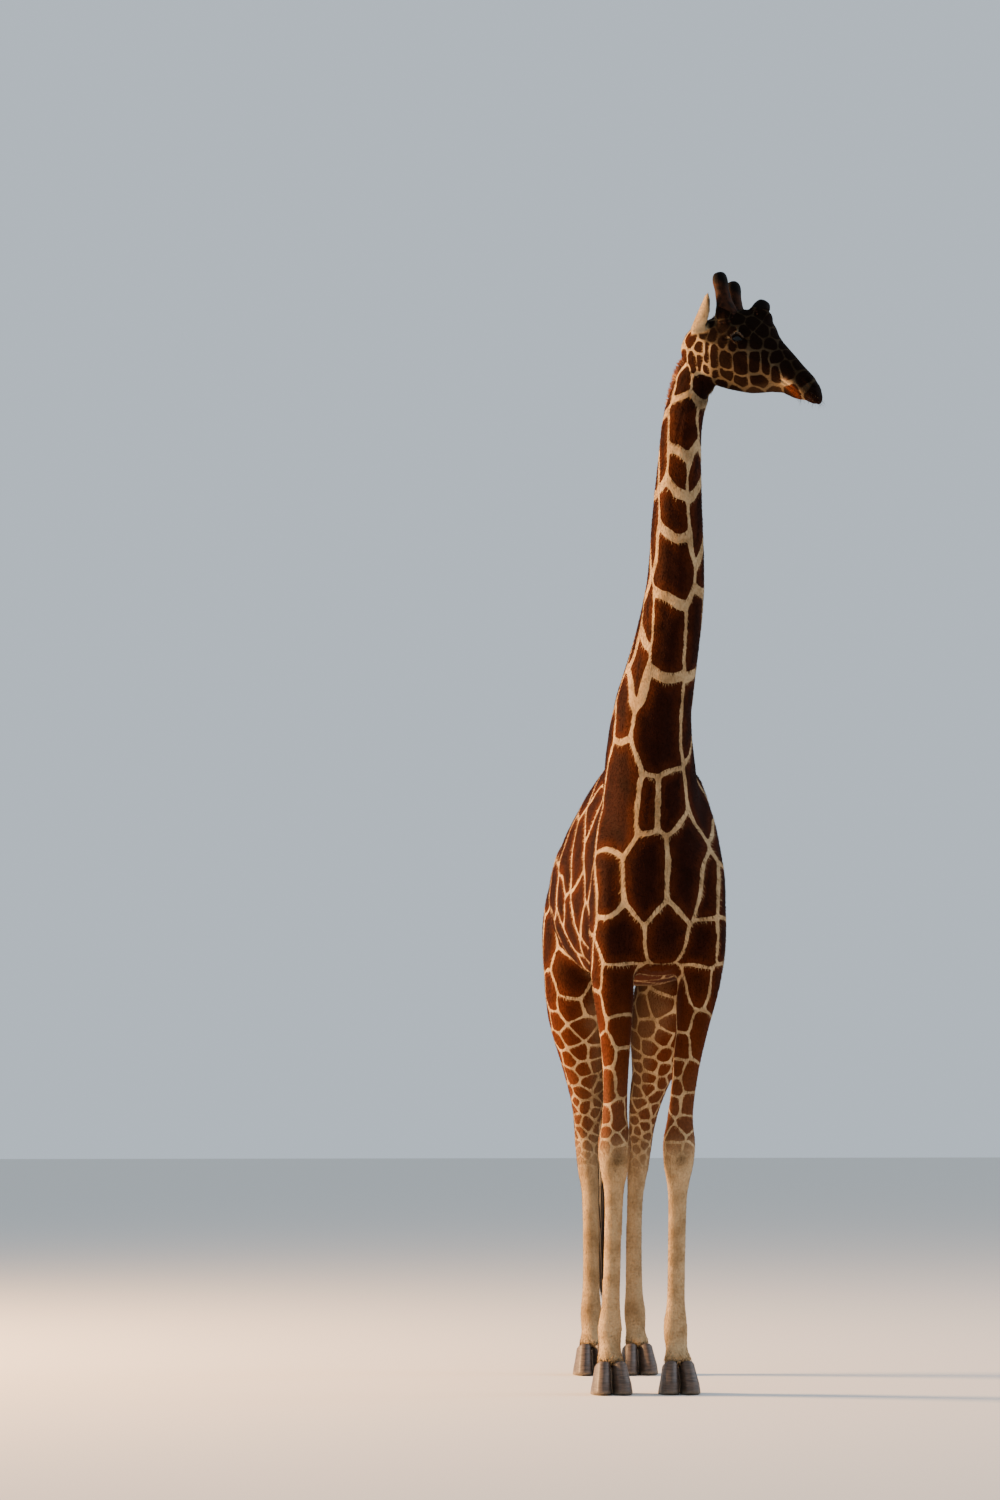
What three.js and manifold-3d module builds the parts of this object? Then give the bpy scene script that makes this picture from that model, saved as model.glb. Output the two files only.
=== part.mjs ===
// A grown bull reticulated giraffe, standing square with its head turned to its left, at life size.
// Millimetres, +Z up. The animal faces -Y, and its left side is +X. The floor is the plane Z = 0.
// The body is modelled whole, from sections along its own lines, and is then parted by thin cuts.
import * as THREE from "three";
import { mergeVertices } from "three/addons/utils/BufferGeometryUtils.js";
import Module from "manifold-3d";

const wasm = await Module();
wasm.setup();

// Driving dimensions.
const WITHERS = 3060; // height of the back over the shoulders
const CROUP = 2640; // height of the back over the hips
const GIRTH = 1860; // height of the belly's lowest line
const CHEST_FORE = 880; // how far the breast stands ahead of the trunk's middle
const RUMP_FORE = -1010; // where the buttocks end, behind the trunk's middle
const FORE_FOOT = 600; // the fore hooves' coronets, ahead of the trunk's middle
const HIND_FOOT = -868; // the hind fetlocks
const FOOT_LEAN = 18; // how far the fore fetlocks stand to the right of the knees
const KNEE = 1110; // height of the fore knee
const HOCK = 1135; // height of the hock's middle
const FETLOCK = 290; // height of the fetlocks
const CORONET = 135; // height of the hooves' upper rim
const POLL = { across: 101, fore: 1080, up: 4814 }; // the head's pivot, at the nape behind the ears
const HEAD_LENGTH = 734; // from the nape to the upper lip
const HEAD_TURN = 58; // degrees that the head is turned to the left
const HEAD_DROP = 25; // degrees that the nose hangs below level
const HEAD_ROLL = 7; // degrees that the right horn stands higher than the left
const SWAY = { fore: 54, hind: 39 }; // how far the body is swayed to the left of its feet
const GAP = 0.4; // the thin cut between two pieces
const SMOOTHING = 2; // how far the body's surface may move when its smallest facets are merged
const TRIMMING = 0.15; // the same for the slivers that the cuts leave

const LEFT = 1;
const RIGHT = -1;
const rad = THREE.MathUtils.degToRad;

// A point from its place across (left is positive), ahead of the trunk's middle, and above the floor.
const at = (across, fore, up) => new THREE.Vector3(across, -fore, up);

// A closed surface: a sphere whose every point is moved to place(turn round the axis, share along it).
function skinOf(around, along, place) {
  const geometry = new THREE.SphereGeometry(1, around, along);
  const { position, uv } = geometry.attributes;
  for (let i = 0; i < position.count; i++) {
    const ring = 1 - uv.getY(i);
    const column = Math.round(uv.getX(i) * around) % around;
    const isPole = ring < 1e-6 || ring > 1 - 1e-6;
    const p = place(isPole ? 0 : (column / around) * 2 * Math.PI, ring, isPole);
    position.setXYZ(i, p.x, p.y, p.z);
  }
  return geometry;
}

// A geometry as a solid, with its faces turned outwards.
function solid(geometry) {
  const bare = new THREE.BufferGeometry();
  bare.setAttribute("position", geometry.getAttribute("position").clone());
  bare.setIndex(geometry.index);
  const merged = mergeVertices(bare, 1e-3);
  const corners = Array.from(merged.index.array);
  const kept = [];
  for (let i = 0; i < corners.length; i += 3) {
    const [a, b, c] = corners.slice(i, i + 3);
    if (a !== b && b !== c && c !== a) kept.push([a, b, c]);
  }
  const build = (faces) =>
    new wasm.Manifold(
      new wasm.Mesh({
        numProp: 3,
        vertProperties: merged.attributes.position.array,
        triVerts: new Uint32Array(faces.flat()),
      }),
    );
  const made = build(kept);
  return made.volume() > 0 ? made : build(kept.map(([a, b, c]) => [a, c, b]));
}

// The largest of the bodies that a cut leaves.
const largest = (made) => made.decompose().sort((a, b) => b.volume() - a.volume())[0];

// The width and depth of a rounded section at an angle; power 2 is an ellipse, less is leaner.
function rounded(angle, power) {
  const c = Math.cos(angle);
  const s = Math.sin(angle);
  return [
    Math.sign(c) * Math.abs(c) ** (2 / power),
    Math.sign(s) * Math.abs(s) ** (2 / power),
  ];
}

// A value that changes smoothly from station to station.
const smooth = (values) =>
  new THREE.CatmullRomCurve3(
    values.map((v) => new THREE.Vector3(v, 0, 0)),
    false,
    "catmullrom",
    0.5,
  );

// A body with its axis level, such as the trunk or the head. Each station is
// [fore, top, widest level, bottom, half width, upper power, lower power], and the ends are closed.
function barrel(stations, { around, rings, grow = 0 }) {
  const columns = stations[0].map((_, k) => smooth(stations.map((s) => s[k])));
  return solid(
    skinOf(around, rings, (angle, share, isPole) => {
      const [fore, top, mid, bottom, half, upper, lower] = columns.map(
        (c) => c.getPoint(share).x,
      );
      const end = share < 0.5 ? grow : -grow;
      if (isPole) return at(0, fore + end, mid);
      const [w, h] = rounded(angle, Math.sin(angle) > 0 ? upper : lower);
      const reach = h > 0 ? top - mid + grow : mid - bottom + grow;
      return at(w * (half + grow), fore, mid + h * reach);
    }),
  );
}

// A limb along a bent line. Each station is {p: [across, fore, up], side: half width, deep: half depth},
// with an optional turn of the section in degrees; lean thins its back edge.
function limb(stations, { around, rings, grow = 0, power = 2, lean = 0 }) {
  const path = new THREE.CatmullRomCurve3(stations.map((s) => at(...s.p)));
  const side = smooth(stations.map((s) => s.side));
  const deep = smooth(stations.map((s) => s.deep));
  const turn = smooth(stations.map((s) => s.turn ?? 0));
  return solid(
    skinOf(around, rings, (angle, share, isPole) => {
      const centre = path.getPoint(share);
      if (isPole) return centre;
      const { across, back } = frameAt(path, share, turn.getPoint(share).x);
      const [c, s] = rounded(angle, power);
      const a = c * (side.getPoint(share).x + grow) * (1 - (lean * (1 + s)) / 2);
      const b = s * (deep.getPoint(share).x + grow);
      return centre.addScaledVector(across, a).addScaledVector(back, b);
    }),
  );
}

// The section's own directions at a share of a path: to the animal's left, and to its back.
function frameAt(path, share, degrees = 0) {
  const along = path.getTangent(share);
  const left = new THREE.Vector3(1, 0, 0);
  const back = new THREE.Vector3().crossVectors(along, left).normalize();
  if (back.y + back.z < 0) back.negate();
  const across = new THREE.Vector3().crossVectors(back, along).normalize();
  if (across.x < 0) across.negate();
  const spin = new THREE.Quaternion().setFromAxisAngle(along, rad(degrees));
  return { across: across.applyQuaternion(spin), back: back.applyQuaternion(spin) };
}

// ---- Trunk: deep, short and sloping, with lean withers and a round belly.
function trunkOf(grow = 0) {
  const stations = [
    [CHEST_FORE, 2350, 2300, 2250, 30, 2, 2],
    [CHEST_FORE - 20, 2530, 2310, 2110, 130, 2, 2.1],
    [CHEST_FORE - 90, 2730, 2300, 1985, 222, 1.9, 2.1],
    [CHEST_FORE - 215, 2890, 2270, 1915, 286, 1.8, 2.1],
    [500, WITHERS - 55, 2260, 1892, 316, 1.8, 2.1],
    [350, WITHERS, 2260, GIRTH + 18, 334, 1.85, 2.2],
    [150, WITHERS - 50, 2265, GIRTH + 4, 374, 1.85, 2.2],
    [-50, WITHERS - 130, 2265, GIRTH, 404, 1.9, 2.2],
    [-250, CROUP + 190, 2270, GIRTH + 12, 409, 1.95, 2.2],
    [-450, CROUP + 115, 2285, GIRTH + 50, 398, 1.95, 2.1],
    [-650, CROUP + 55, 2300, GIRTH + 120, 380, 1.9, 2],
    [-810, CROUP - 5, 2290, GIRTH + 180, 322, 1.85, 2],
    [-930, CROUP - 100, 2270, GIRTH + 232, 216, 1.8, 2],
    [RUMP_FORE + 18, CROUP - 220, 2240, GIRTH + 262, 110, 1.9, 2],
    [RUMP_FORE, 2270, 2230, 2190, 25, 2, 2],
  ];
  return barrel(stations, { around: 22, rings: 24, grow });
}

// ---- Neck: upright, thin at the throat, leaning a little to the left and turning with the head.
const NECK = [
  { p: [0, 400, 2330], side: 180, deep: 300 },
  { p: [-6, 500, 2560], side: 240, deep: 372 },
  { p: [-36, 608, 2820], side: 228, deep: 330 },
  { p: [-40, 712, 3090], side: 194, deep: 268 },
  { p: [8, 812, 3370], side: 162, deep: 218, turn: 3 },
  { p: [44, 905, 3660], side: 140, deep: 186, turn: 6 },
  { p: [43, 985, 3950], side: 122, deep: 160, turn: 9 },
  { p: [47, 1042, 4220], side: 101, deep: 138, turn: 13 },
  { p: [59, 1072, 4400], side: 90, deep: 124, turn: 20 },
  { p: [95, 1088, 4540], side: 78, deep: 110, turn: 28 },
  { p: [130, 1094, 4660], side: 60, deep: 84, turn: 34 },
  { p: [146, 1092, 4740], side: 36, deep: 52, turn: 36 },
];
const neckPath = new THREE.CatmullRomCurve3(NECK.map((s) => at(...s.p)));
const neckOf = (grow = 0) =>
  limb(NECK, { around: 18, rings: 24, grow, power: 2.1, lean: 0.12 });

// How far to the right of the body a leg stands at a height, when its foot is an amount to the right.
const sway = (amount, up, reach) => -amount * THREE.MathUtils.smoothstep(2050 - up, 0, reach);

// ---- Fore leg: shoulder blade, straight forearm, broad flat knee, slim cannon and pastern.
function foreLegOf(way, grow = 0) {
  const stations = [
    [120, 440, 2900, 56, 84],
    [158, 490, 2700, 88, 150],
    [200, 570, 2440, 98, 200],
    [214, 605, 2200, 102, 208],
    [212, 585, 2010, 105, 186],
    [192, 570, 1810, 97, 138],
    [179, 582, 1680, 81, 112],
    [166, 596, 1540, 69, 92],
    [157, 602, 1390, 61, 78],
    [150, 604, KNEE + 130, 63, 74],
    [149, 610, KNEE + 30, 80, 84],
    [148, 606, KNEE - 75, 72, 75],
    [147, 600, KNEE - 190, 50, 57],
    [148, 598, 700, 45, 51],
    [149, 598, 420, 46, 52],
    [151, 592, FETLOCK, 60, 68],
    [153, FORE_FOOT + 18, 200, 53, 58],
    [155, FORE_FOOT + 48, CORONET, 66, 78],
    [155, FORE_FOOT + 62, CORONET - 60, 58, 70],
  ].map(([out, fore, up, side, deep]) => {
    const across = way * out + sway(SWAY.fore, up, 1000) + sway(FOOT_LEAN, up + 900, 1000);
    return { p: [across, fore, up], side, deep };
  });
  return limb(stations, { around: 12, rings: 36, grow, power: 2.15 });
}

// ---- Hind leg: heavy thigh, gaskin sloping back, hock with its heel bone, and an upright cannon.
function hindLegOf(way, grow = 0) {
  const placed = ([out, fore, up, side, deep]) => ({
    p: [way * out + sway(SWAY.hind, up, 1400), fore, up],
    side,
    deep,
  });
  const stations = [
    [120, -640, 2560, 66, 95],
    [208, -690, 2400, 138, 232],
    [246, -680, 2170, 158, 292],
    [232, -640, 1960, 170, 264],
    [206, -690, 1760, 172, 194],
    [181, -755, 1600, 146, 146],
    [164, -820, 1450, 104, 110],
    [141, -872, 1310, 82, 92],
    [133, -915, HOCK + 25, 64, 86],
    [125, -905, HOCK - 110, 58, 74],
    [111, -893, 880, 46, 58],
    [105, -884, 640, 43, 53],
    [105, -876, 410, 45, 55],
    [107, HIND_FOOT, FETLOCK, 57, 68],
    [109, HIND_FOOT + 26, 200, 50, 57],
    [111, HIND_FOOT + 56, CORONET, 63, 75],
    [111, HIND_FOOT + 70, CORONET - 60, 56, 68],
  ].map(placed);
  const tendon = [
    [166, -885, 1500, 22, 28],
    [148, -950, 1350, 26, 30],
    [136, -985, HOCK + 75, 33, 33],
    [130, -962, HOCK - 20, 34, 34],
    [122, -930, HOCK - 150, 28, 26],
  ].map(placed);
  return limb(stations, { around: 12, rings: 32, grow, power: 2.1 }).add(
    limb(tendon, { around: 8, rings: 8, grow }),
  );
}

// ---- Tail: a thin dock from the croup, hanging between the thighs.
const TAIL = [
  { p: [0, -905, 2490], side: 40, deep: 44 },
  { p: [0, -985, 2450], side: 44, deep: 46 },
  { p: [0, -1052, 2340], side: 36, deep: 38 },
  { p: [-6, -1082, 2160], side: 28, deep: 30 },
  { p: [-20, -1085, 1900], side: 22, deep: 24 },
  { p: [-38, -1078, 1640], side: 18, deep: 19 },
  { p: [-52, -1072, 1400], side: 15, deep: 16 },
  { p: [-56, -1070, 1330], side: 11, deep: 11 },
];
const tailOf = (grow = 0) => limb(TAIL, { around: 8, rings: 14, grow });

// ---- Head, level and facing -Y with its pivot at the origin, until headPlace sets it on the neck.
const EYE = { across: 99, fore: 276, up: 34, radius: 27 };
const headPlace = new THREE.Matrix4().compose(
  at(POLL.across, POLL.fore, POLL.up),
  new THREE.Quaternion().setFromEuler(
    new THREE.Euler(rad(HEAD_DROP), rad(HEAD_ROLL), rad(HEAD_TURN), "ZXY"),
  ),
  new THREE.Vector3(1, 1, 1),
);

// An egg with its own half sizes, across, fore and up.
const egg = (centre, sizes, detail = 14) =>
  solid(
    new THREE.SphereGeometry(1, detail, Math.round(detail * 0.7))
      .rotateX(Math.PI / 2)
      .scale(...sizes)
      .translate(centre.x, centre.y, centre.z),
  );

function headOf(grow = 0) {
  const skull = [
    [-6, -18, -48, -78, 20, 2, 2],
    [6, 12, -50, -118, 52, 2, 2],
    [40, 50, -46, -154, 80, 2, 2],
    [80, 92, -40, -180, 98, 2, 1.9],
    [130, 140, -15, -190, 113, 1.9, 1.8],
    [190, 180, 12, -192, 122, 1.9, 1.7],
    [260, 196, 26, -187, 121, 1.9, 1.6],
    [320, 192, 24, -178, 108, 1.8, 1.6],
    [365, 172, 10, -168, 95, 1.8, 1.7],
    [410, 132, -4, -156, 83, 2, 1.8],
    [470, 102, -14, -127, 72, 2.1, 1.9],
    [530, 78, -22, -96, 64, 2.2, 2],
    [590, 50, -30, -88, 60, 2.3, 2.1],
    [645, 30, -40, -88, 58, 2.3, 2.1],
    [HEAD_LENGTH - 36, -8, -50, -90, 50, 2.2, 2.1],
    [HEAD_LENGTH - 10, -34, -60, -84, 32, 2, 2],
    [HEAD_LENGTH, -52, -62, -72, 12, 2, 2],
  ];
  const chin = [
    { p: [0, 400, -104], side: 24, deep: 30 },
    { p: [0, 480, -86], side: 34, deep: 33 },
    { p: [0, 540, -66], side: 38, deep: 31 },
    { p: [0, 595, -67], side: 39, deep: 34 },
    { p: [0, 638, -67], side: 35, deep: 29 },
    { p: [0, 670, -70], side: 20, deep: 14 },
  ];
  let head = barrel(skull, { around: 20, rings: 27, grow })
    .add(limb(chin, { around: 10, rings: 8, grow }))
    .add(egg(at(0, 300, 165), [46 + grow, 50 + grow, 52 + grow])) // the bone under the nasal knob
    .add(egg(at(0, 188, -203), [44 + grow, 38 + grow, 56 + grow])); // the throat behind the jaw
  for (const way of [LEFT, RIGHT]) {
    const brow = at(way * 74, EYE.fore, EYE.up + 16);
    const nostril = at(way * 35, 652, -15);
    head = head
      .add(egg(brow, [40 + grow, 62 + grow, 46 + grow]))
      .add(egg(nostril, [22 + grow, 38 + grow, 22 + grow], 12));
  }
  return head;
}

// ---- Horns: two blunt, skin-covered pillars behind the brow, and a low knob above the nose.
function hornOf(heights, radii, grow = 0) {
  const outline = [new THREE.Vector2(0, heights[0])];
  heights.forEach((h, i) => outline.push(new THREE.Vector2(radii[i] + grow, h)));
  const crown = heights.at(-1);
  const dome = radii.at(-1) * 0.72;
  outline.push(new THREE.Vector2(radii.at(-1) * 0.7 + grow, crown + dome * 0.72));
  outline.push(new THREE.Vector2(0, crown + dome + grow));
  return new THREE.LatheGeometry(outline, 10).rotateX(Math.PI / 2);
}

function pillarHornOf(way, grow = 0) {
  const geometry = hornOf([-60, 0, 60, 110, 150, 172], [68, 56, 37, 33, 36, 34], grow);
  geometry.rotateX(rad(-35.5)).rotateY(rad(way * 9));
  geometry.translate(way * 64, -153, 123);
  return solid(geometry);
}

function nasalKnobOf(grow = 0) {
  const geometry = hornOf([-80, -20, 10, 36], [68, 55, 44, 38], grow);
  geometry.rotateX(rad(4)).translate(0, -267, 192);
  return solid(geometry);
}

// ---- Ears: pointed leaves standing up behind the horns, their hollows turned forward and inward.
const EAR_TURN = -58; // degrees that the hollow is turned outward from straight ahead
function earOf(way, grow = 0) {
  const length = 220;
  const geometry = skinOf(10, 9, (angle, share, isPole) => {
    const up = share * length;
    const half = 50 * Math.sin(Math.PI * Math.min(1, share * 0.88 + 0.1)) ** 0.8;
    const c = isPole ? 0 : Math.cos(angle);
    const s = isPole ? 0 : Math.sin(angle);
    const thick = 6 + 14 * (1 - share) ** 2;
    const curl = 24 * Math.sin(Math.PI * share) * c * c; // the rims come forward round the hollow
    return new THREE.Vector3(c * (half + grow), s * (thick + grow) - curl, up);
  });
  geometry.rotateX(rad(2)).rotateZ(rad(way * EAR_TURN)).rotateY(rad(way * 16));
  geometry.translate(way * 84, -56, -34);
  return solid(geometry);
}

// ---- Hooves: two blunt toes to each foot, flat on the floor.
function toeOf(foot, way) {
  const stations = [
    [34, 14, CORONET + 34, 22, 42],
    [35, 20, CORONET + 8, 33, 70],
    [38, 30, CORONET - 28, 37, 86],
    [43, 46, CORONET * 0.42, 42, 106],
    [48, 58, 12, 47, 120],
    [49, 62, -30, 48, 120],
  ].map(([out, fore, up, side, deep]) => ({
    p: [foot.x + way * out, foot.fore + fore, up],
    side,
    deep,
  }));
  const toe = limb(stations, { around: 12, rings: 7, power: 2.4 });
  return toe
    .trimByPlane([0, 0, 1], 0)
    .trimByPlane([way, 0, 0], way * foot.x + 4)
    .trimByPlane(...coronetPlane(foot, -1));
}

// The cut between leg and hooves, sloping down to the heels. side 1 keeps what is above it.
function coronetPlane(foot, side) {
  const normal = new THREE.Vector3(0, 0.34, 1).normalize().multiplyScalar(side);
  const point = at(foot.x, foot.fore + 40, CORONET);
  return [normal.toArray(), normal.dot(point) + GAP / 2];
}

// ---- Mane: a stiff upright crest along the back of the neck, from the poll to the withers.
function maneOf(grow = 0) {
  const deepAt = smooth(NECK.map((s) => s.deep));
  const turnAt = smooth(NECK.map((s) => s.turn ?? 0));
  const stations = [];
  const steps = 13;
  for (let i = 0; i <= steps; i++) {
    const share = THREE.MathUtils.lerp(0.155, 0.955, i / steps);
    const { back } = frameAt(neckPath, share, turnAt.getPoint(share).x);
    const p = neckPath.getPoint(share).addScaledVector(back, deepAt.getPoint(share).x + 12);
    const isEnd = i === 0 || i === steps;
    stations.push({
      p: [p.x, -p.y, p.z],
      side: isEnd ? 10 : 22,
      deep: isEnd ? 22 : 62,
      turn: turnAt.getPoint(share).x,
    });
  }
  return limb(stations, { around: 6, rings: 20, grow, power: 1.8, lean: 0.5 });
}

// ---- Tail tuft: long coarse hair from the end of the dock.
function tuftOf() {
  const stations = [
    { p: [-42, -1076, 1580], side: 24, deep: 25 },
    { p: [-50, -1073, 1440], side: 34, deep: 36 },
    { p: [-59, -1068, 1200], side: 46, deep: 50 },
    { p: [-66, -1060, 920], side: 48, deep: 54 },
    { p: [-70, -1052, 640], side: 36, deep: 42 },
    { p: [-72, -1048, 420], side: 16, deep: 20 },
    { p: [-73, -1046, 340], side: 5, deep: 6 },
  ];
  return limb(stations, { around: 10, rings: 12 }).subtract(tailOf(GAP));
}

// ---- The whole body, and the same grown by a thin gap, which cuts what sits in it.
const onHead = (made) => made.transform(headPlace.toArray());
const eyeBall = (way, radius) =>
  onHead(egg(at(way * EYE.across, EYE.fore, EYE.up), [radius, radius, radius], 10));

function fleshOf(grow = 0) {
  let whole = trunkOf(grow).add(neckOf(grow)).add(onHead(headOf(grow)));
  for (const way of [LEFT, RIGHT]) {
    whole = whole.add(foreLegOf(way, grow)).add(hindLegOf(way, grow));
  }
  return whole;
}

const flesh = fleshOf().simplify(SMOOTHING);
const grownFlesh = fleshOf(GAP + SMOOTHING);
const parts = {};

// An upright block that reaches far down from a top that slopes up to the animal's outer side.
function block(centre, sizes, slope) {
  const geometry = new THREE.BoxGeometry(...sizes).translate(0, 0, -sizes[2] / 2);
  const corners = geometry.attributes.position;
  for (let i = 0; i < corners.count; i++) {
    if (corners.getZ(i) > -1) corners.setZ(i, corners.getX(i) * slope);
  }
  return solid(geometry.translate(centre.x, centre.y, centre.z));
}

// Each leg is what lies in its own block, whose top slopes up and out through the armpit or groin.
const LEG_CUTS = {
  fore_leg: { fore: 600, up: 1985, across: 22, shift: -SWAY.fore / 2, slope: 0.3, depth: 620 },
  hind_leg: { fore: -700, up: 2020, across: 12, shift: -SWAY.hind / 2, slope: 0.35, depth: 760 },
};
const feet = {
  fore_leg: (way) => ({ x: way * 155 - SWAY.fore - FOOT_LEAN, fore: FORE_FOOT + 30 }),
  hind_leg: (way) => ({ x: way * 111 - SWAY.hind, fore: HIND_FOOT + 38 }),
};
const sideName = (way) => (way === LEFT ? "left" : "right");

let trunkAndUp = flesh;
for (const [name, cut] of Object.entries(LEG_CUTS)) {
  for (const way of [LEFT, RIGHT]) {
    const half = 300;
    const boxOf = (spread) =>
      block(
        at(way * (cut.across + half - spread) + cut.shift, cut.fore, cut.up + spread),
        [2 * half, cut.depth, 2400],
        way * cut.slope,
      );
    const foot = feet[name](way);
    const leg = flesh.intersect(boxOf(0)).trimByPlane(...coronetPlane(foot, 1));
    parts[`${name}_${sideName(way)}`] = leg;
    trunkAndUp = trunkAndUp.subtract(boxOf(GAP));
    const place = name === "fore_leg" ? "fore" : "hind";
    parts[`hoof_${place}_${sideName(way)}_outer`] = toeOf(foot, way);
    parts[`hoof_${place}_${sideName(way)}_inner`] = toeOf(foot, -way);
  }
}
trunkAndUp = largest(trunkAndUp);

// The neck is parted from the trunk along the slope of the shoulders, and the head at the throat.
const cutAcross = (whole, normal, point) => {
  const n = normal.normalize();
  const offset = n.dot(point);
  return [
    whole.trimByPlane(n.toArray(), offset + GAP / 2),
    whole.trimByPlane(n.clone().negate().toArray(), -offset + GAP / 2),
  ];
};
const [neckUp, trunk] = cutAcross(trunkAndUp, at(0, 0.62, 1), at(0, 640, 2800));
const [head, neck] = cutAcross(
  neckUp,
  at(0, 0.664, 0.747).transformDirection(headPlace),
  at(0, 0, 0).applyMatrix4(headPlace),
);
parts.trunk = trunk;
parts.neck = neck;

parts.mane = maneOf().subtract(grownFlesh);
parts.tail = tailOf().subtract(grownFlesh);
parts.tail_tuft = tuftOf();

let faceSolid = head;
for (const way of [LEFT, RIGHT]) {
  const name = sideName(way);
  parts[`horn_${name}`] = onHead(pillarHornOf(way)).subtract(grownFlesh);
  parts[`ear_${name}`] = onHead(earOf(way)).subtract(grownFlesh).subtract(onHead(pillarHornOf(way, GAP)));
  parts[`eye_${name}`] = eyeBall(way, EYE.radius);
  faceSolid = faceSolid.subtract(eyeBall(way, EYE.radius + GAP));
}
parts.horn_nasal = onHead(nasalKnobOf()).subtract(grownFlesh);
parts.head = faceSolid;

// ---- Colours: chestnut patches in a net of cream, a dark face, cream lower legs, black tail hair.
const COLOURS = {
  coat: ["#7a4220", 0.85],
  cream: ["#d9c09a", 0.85],
  horn: ["#3a2618", 0.85],
  mane: ["#5f3418", 0.9],
  tuft: ["#17110d", 0.7],
  hoof: ["#4a3d33", 0.55],
  eye: ["#120b08", 0.12],
};
function colourOf(name) {
  if (name.startsWith("hoof")) return "hoof";
  if (name.startsWith("eye")) return "eye";
  if (name.startsWith("horn")) return "horn";
  if (name.startsWith("ear") || name === "tail") return "cream";
  if (name === "mane") return "mane";
  return name === "tail_tuft" ? "tuft" : "coat";
}

// A finished solid as a mesh of its own name and colour.
function meshOf(name, made) {
  const { numProp, vertProperties, triVerts } = made.getMesh();
  const geometry = new THREE.BufferGeometry();
  const places = new Float32Array((vertProperties.length / numProp) * 3);
  for (let i = 0; i < places.length / 3; i++) {
    places.set(vertProperties.subarray(i * numProp, i * numProp + 3), i * 3);
  }
  geometry.setAttribute("position", new THREE.BufferAttribute(places, 3));
  geometry.setIndex(new THREE.BufferAttribute(new Uint32Array(triVerts), 1));
  geometry.computeVertexNormals();
  const [color, roughness] = COLOURS[colourOf(name)];
  const mesh = new THREE.Mesh(
    geometry,
    new THREE.MeshStandardMaterial({ color, roughness, metalness: 0 }),
  );
  mesh.name = name;
  return mesh;
}

const giraffe = new THREE.Group();
giraffe.name = "giraffe";
for (const [name, made] of Object.entries(parts)) {
  giraffe.add(meshOf(name, largest(made).simplify(TRIMMING)));
}

// The origin is under the middle of the whole animal, on the floor.
const bounds = new THREE.Box3().setFromObject(giraffe);
const middle = bounds.getCenter(new THREE.Vector3());
giraffe.position.set(-middle.x, -middle.y, -bounds.min.z);

export default giraffe;
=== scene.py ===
import math

import bmesh
import bpy
import numpy as np
from mathutils import Matrix, Vector
from mathutils.bvhtree import BVHTree


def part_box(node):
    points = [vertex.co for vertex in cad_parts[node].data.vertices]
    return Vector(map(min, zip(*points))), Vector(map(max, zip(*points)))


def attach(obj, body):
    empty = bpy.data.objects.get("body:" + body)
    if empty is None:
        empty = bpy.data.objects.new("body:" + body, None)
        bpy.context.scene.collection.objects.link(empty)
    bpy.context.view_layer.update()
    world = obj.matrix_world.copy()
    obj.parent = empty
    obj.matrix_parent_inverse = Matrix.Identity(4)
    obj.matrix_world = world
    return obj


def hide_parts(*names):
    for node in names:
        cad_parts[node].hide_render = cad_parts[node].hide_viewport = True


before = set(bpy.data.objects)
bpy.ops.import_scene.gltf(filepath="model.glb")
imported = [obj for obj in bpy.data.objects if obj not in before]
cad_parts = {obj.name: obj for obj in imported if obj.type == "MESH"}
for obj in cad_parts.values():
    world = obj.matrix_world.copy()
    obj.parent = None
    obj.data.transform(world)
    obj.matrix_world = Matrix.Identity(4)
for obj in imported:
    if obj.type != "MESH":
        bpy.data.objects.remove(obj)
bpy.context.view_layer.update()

# ---- Camera: low on the plain, far off, with a long lens, so the animal's size hardly changes
# from its fore feet to its head.
LENS = 120
CAMERA_PLACE = (-2.972, -23.208, 1.47)
CAMERA_TILT = math.radians(3.66)
CAMERA_TURN = math.radians(-5.33)
FOCAL_PIXELS = 5000  # the lens, in pixels of a frame 1000 wide and 1500 high

camera = bpy.data.objects.new("camera", bpy.data.cameras.new("camera"))
bpy.context.scene.collection.objects.link(camera)
bpy.context.scene.camera = camera
camera.data.lens = LENS
camera.location = CAMERA_PLACE
camera.rotation_euler = (math.radians(90) + CAMERA_TILT, 0, CAMERA_TURN)
bpy.context.view_layer.update()


# ---- Skin: one hide over trunk, neck, head, ears, legs and tail, with no seam. It is the flesh's
# solids grown together, smoothed, drawn in by the coat's depth, and then modelled over the bones.
MM = 0.001
FLESH = (
    "trunk neck head ear_left ear_right tail fore_leg_left fore_leg_right hind_leg_left hind_leg_right"
).split()
POLL = (101, 1080, 4814)  # the head's pivot: across, fore and up, in the animal's own millimetres
HEAD_TURN, HEAD_DROP, HEAD_ROLL = 58, 25, 7  # degrees
EYE = (99, 276, 34)  # across, fore and up on the head
EYE_RADIUS = 27
VOXEL = 0.019  # the hide's mesh on the body
HEAD_FINENESS = 3.7  # how much finer the mesh is on the head
NECK_COARSE, NECK_FINE = 4.05, 4.4  # heights between which the mesh becomes finer, in metres
OVERLAP = 0.0009  # the solids grow by this before they are joined
SMOOTH_ROUNDS = 76
COAT_DEPTH = {"body": 5.0, "head": 3.0, "ear": 1.6}  # millimetres

head_axes = np.array(
    Matrix.Rotation(math.radians(HEAD_TURN), 3, "Z")
    @ Matrix.Rotation(math.radians(HEAD_DROP), 3, "X")
    @ Matrix.Rotation(math.radians(HEAD_ROLL), 3, "Y")
)


def spot(across, fore, up):
    return np.array((across, -fore, up), float) * MM


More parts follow.
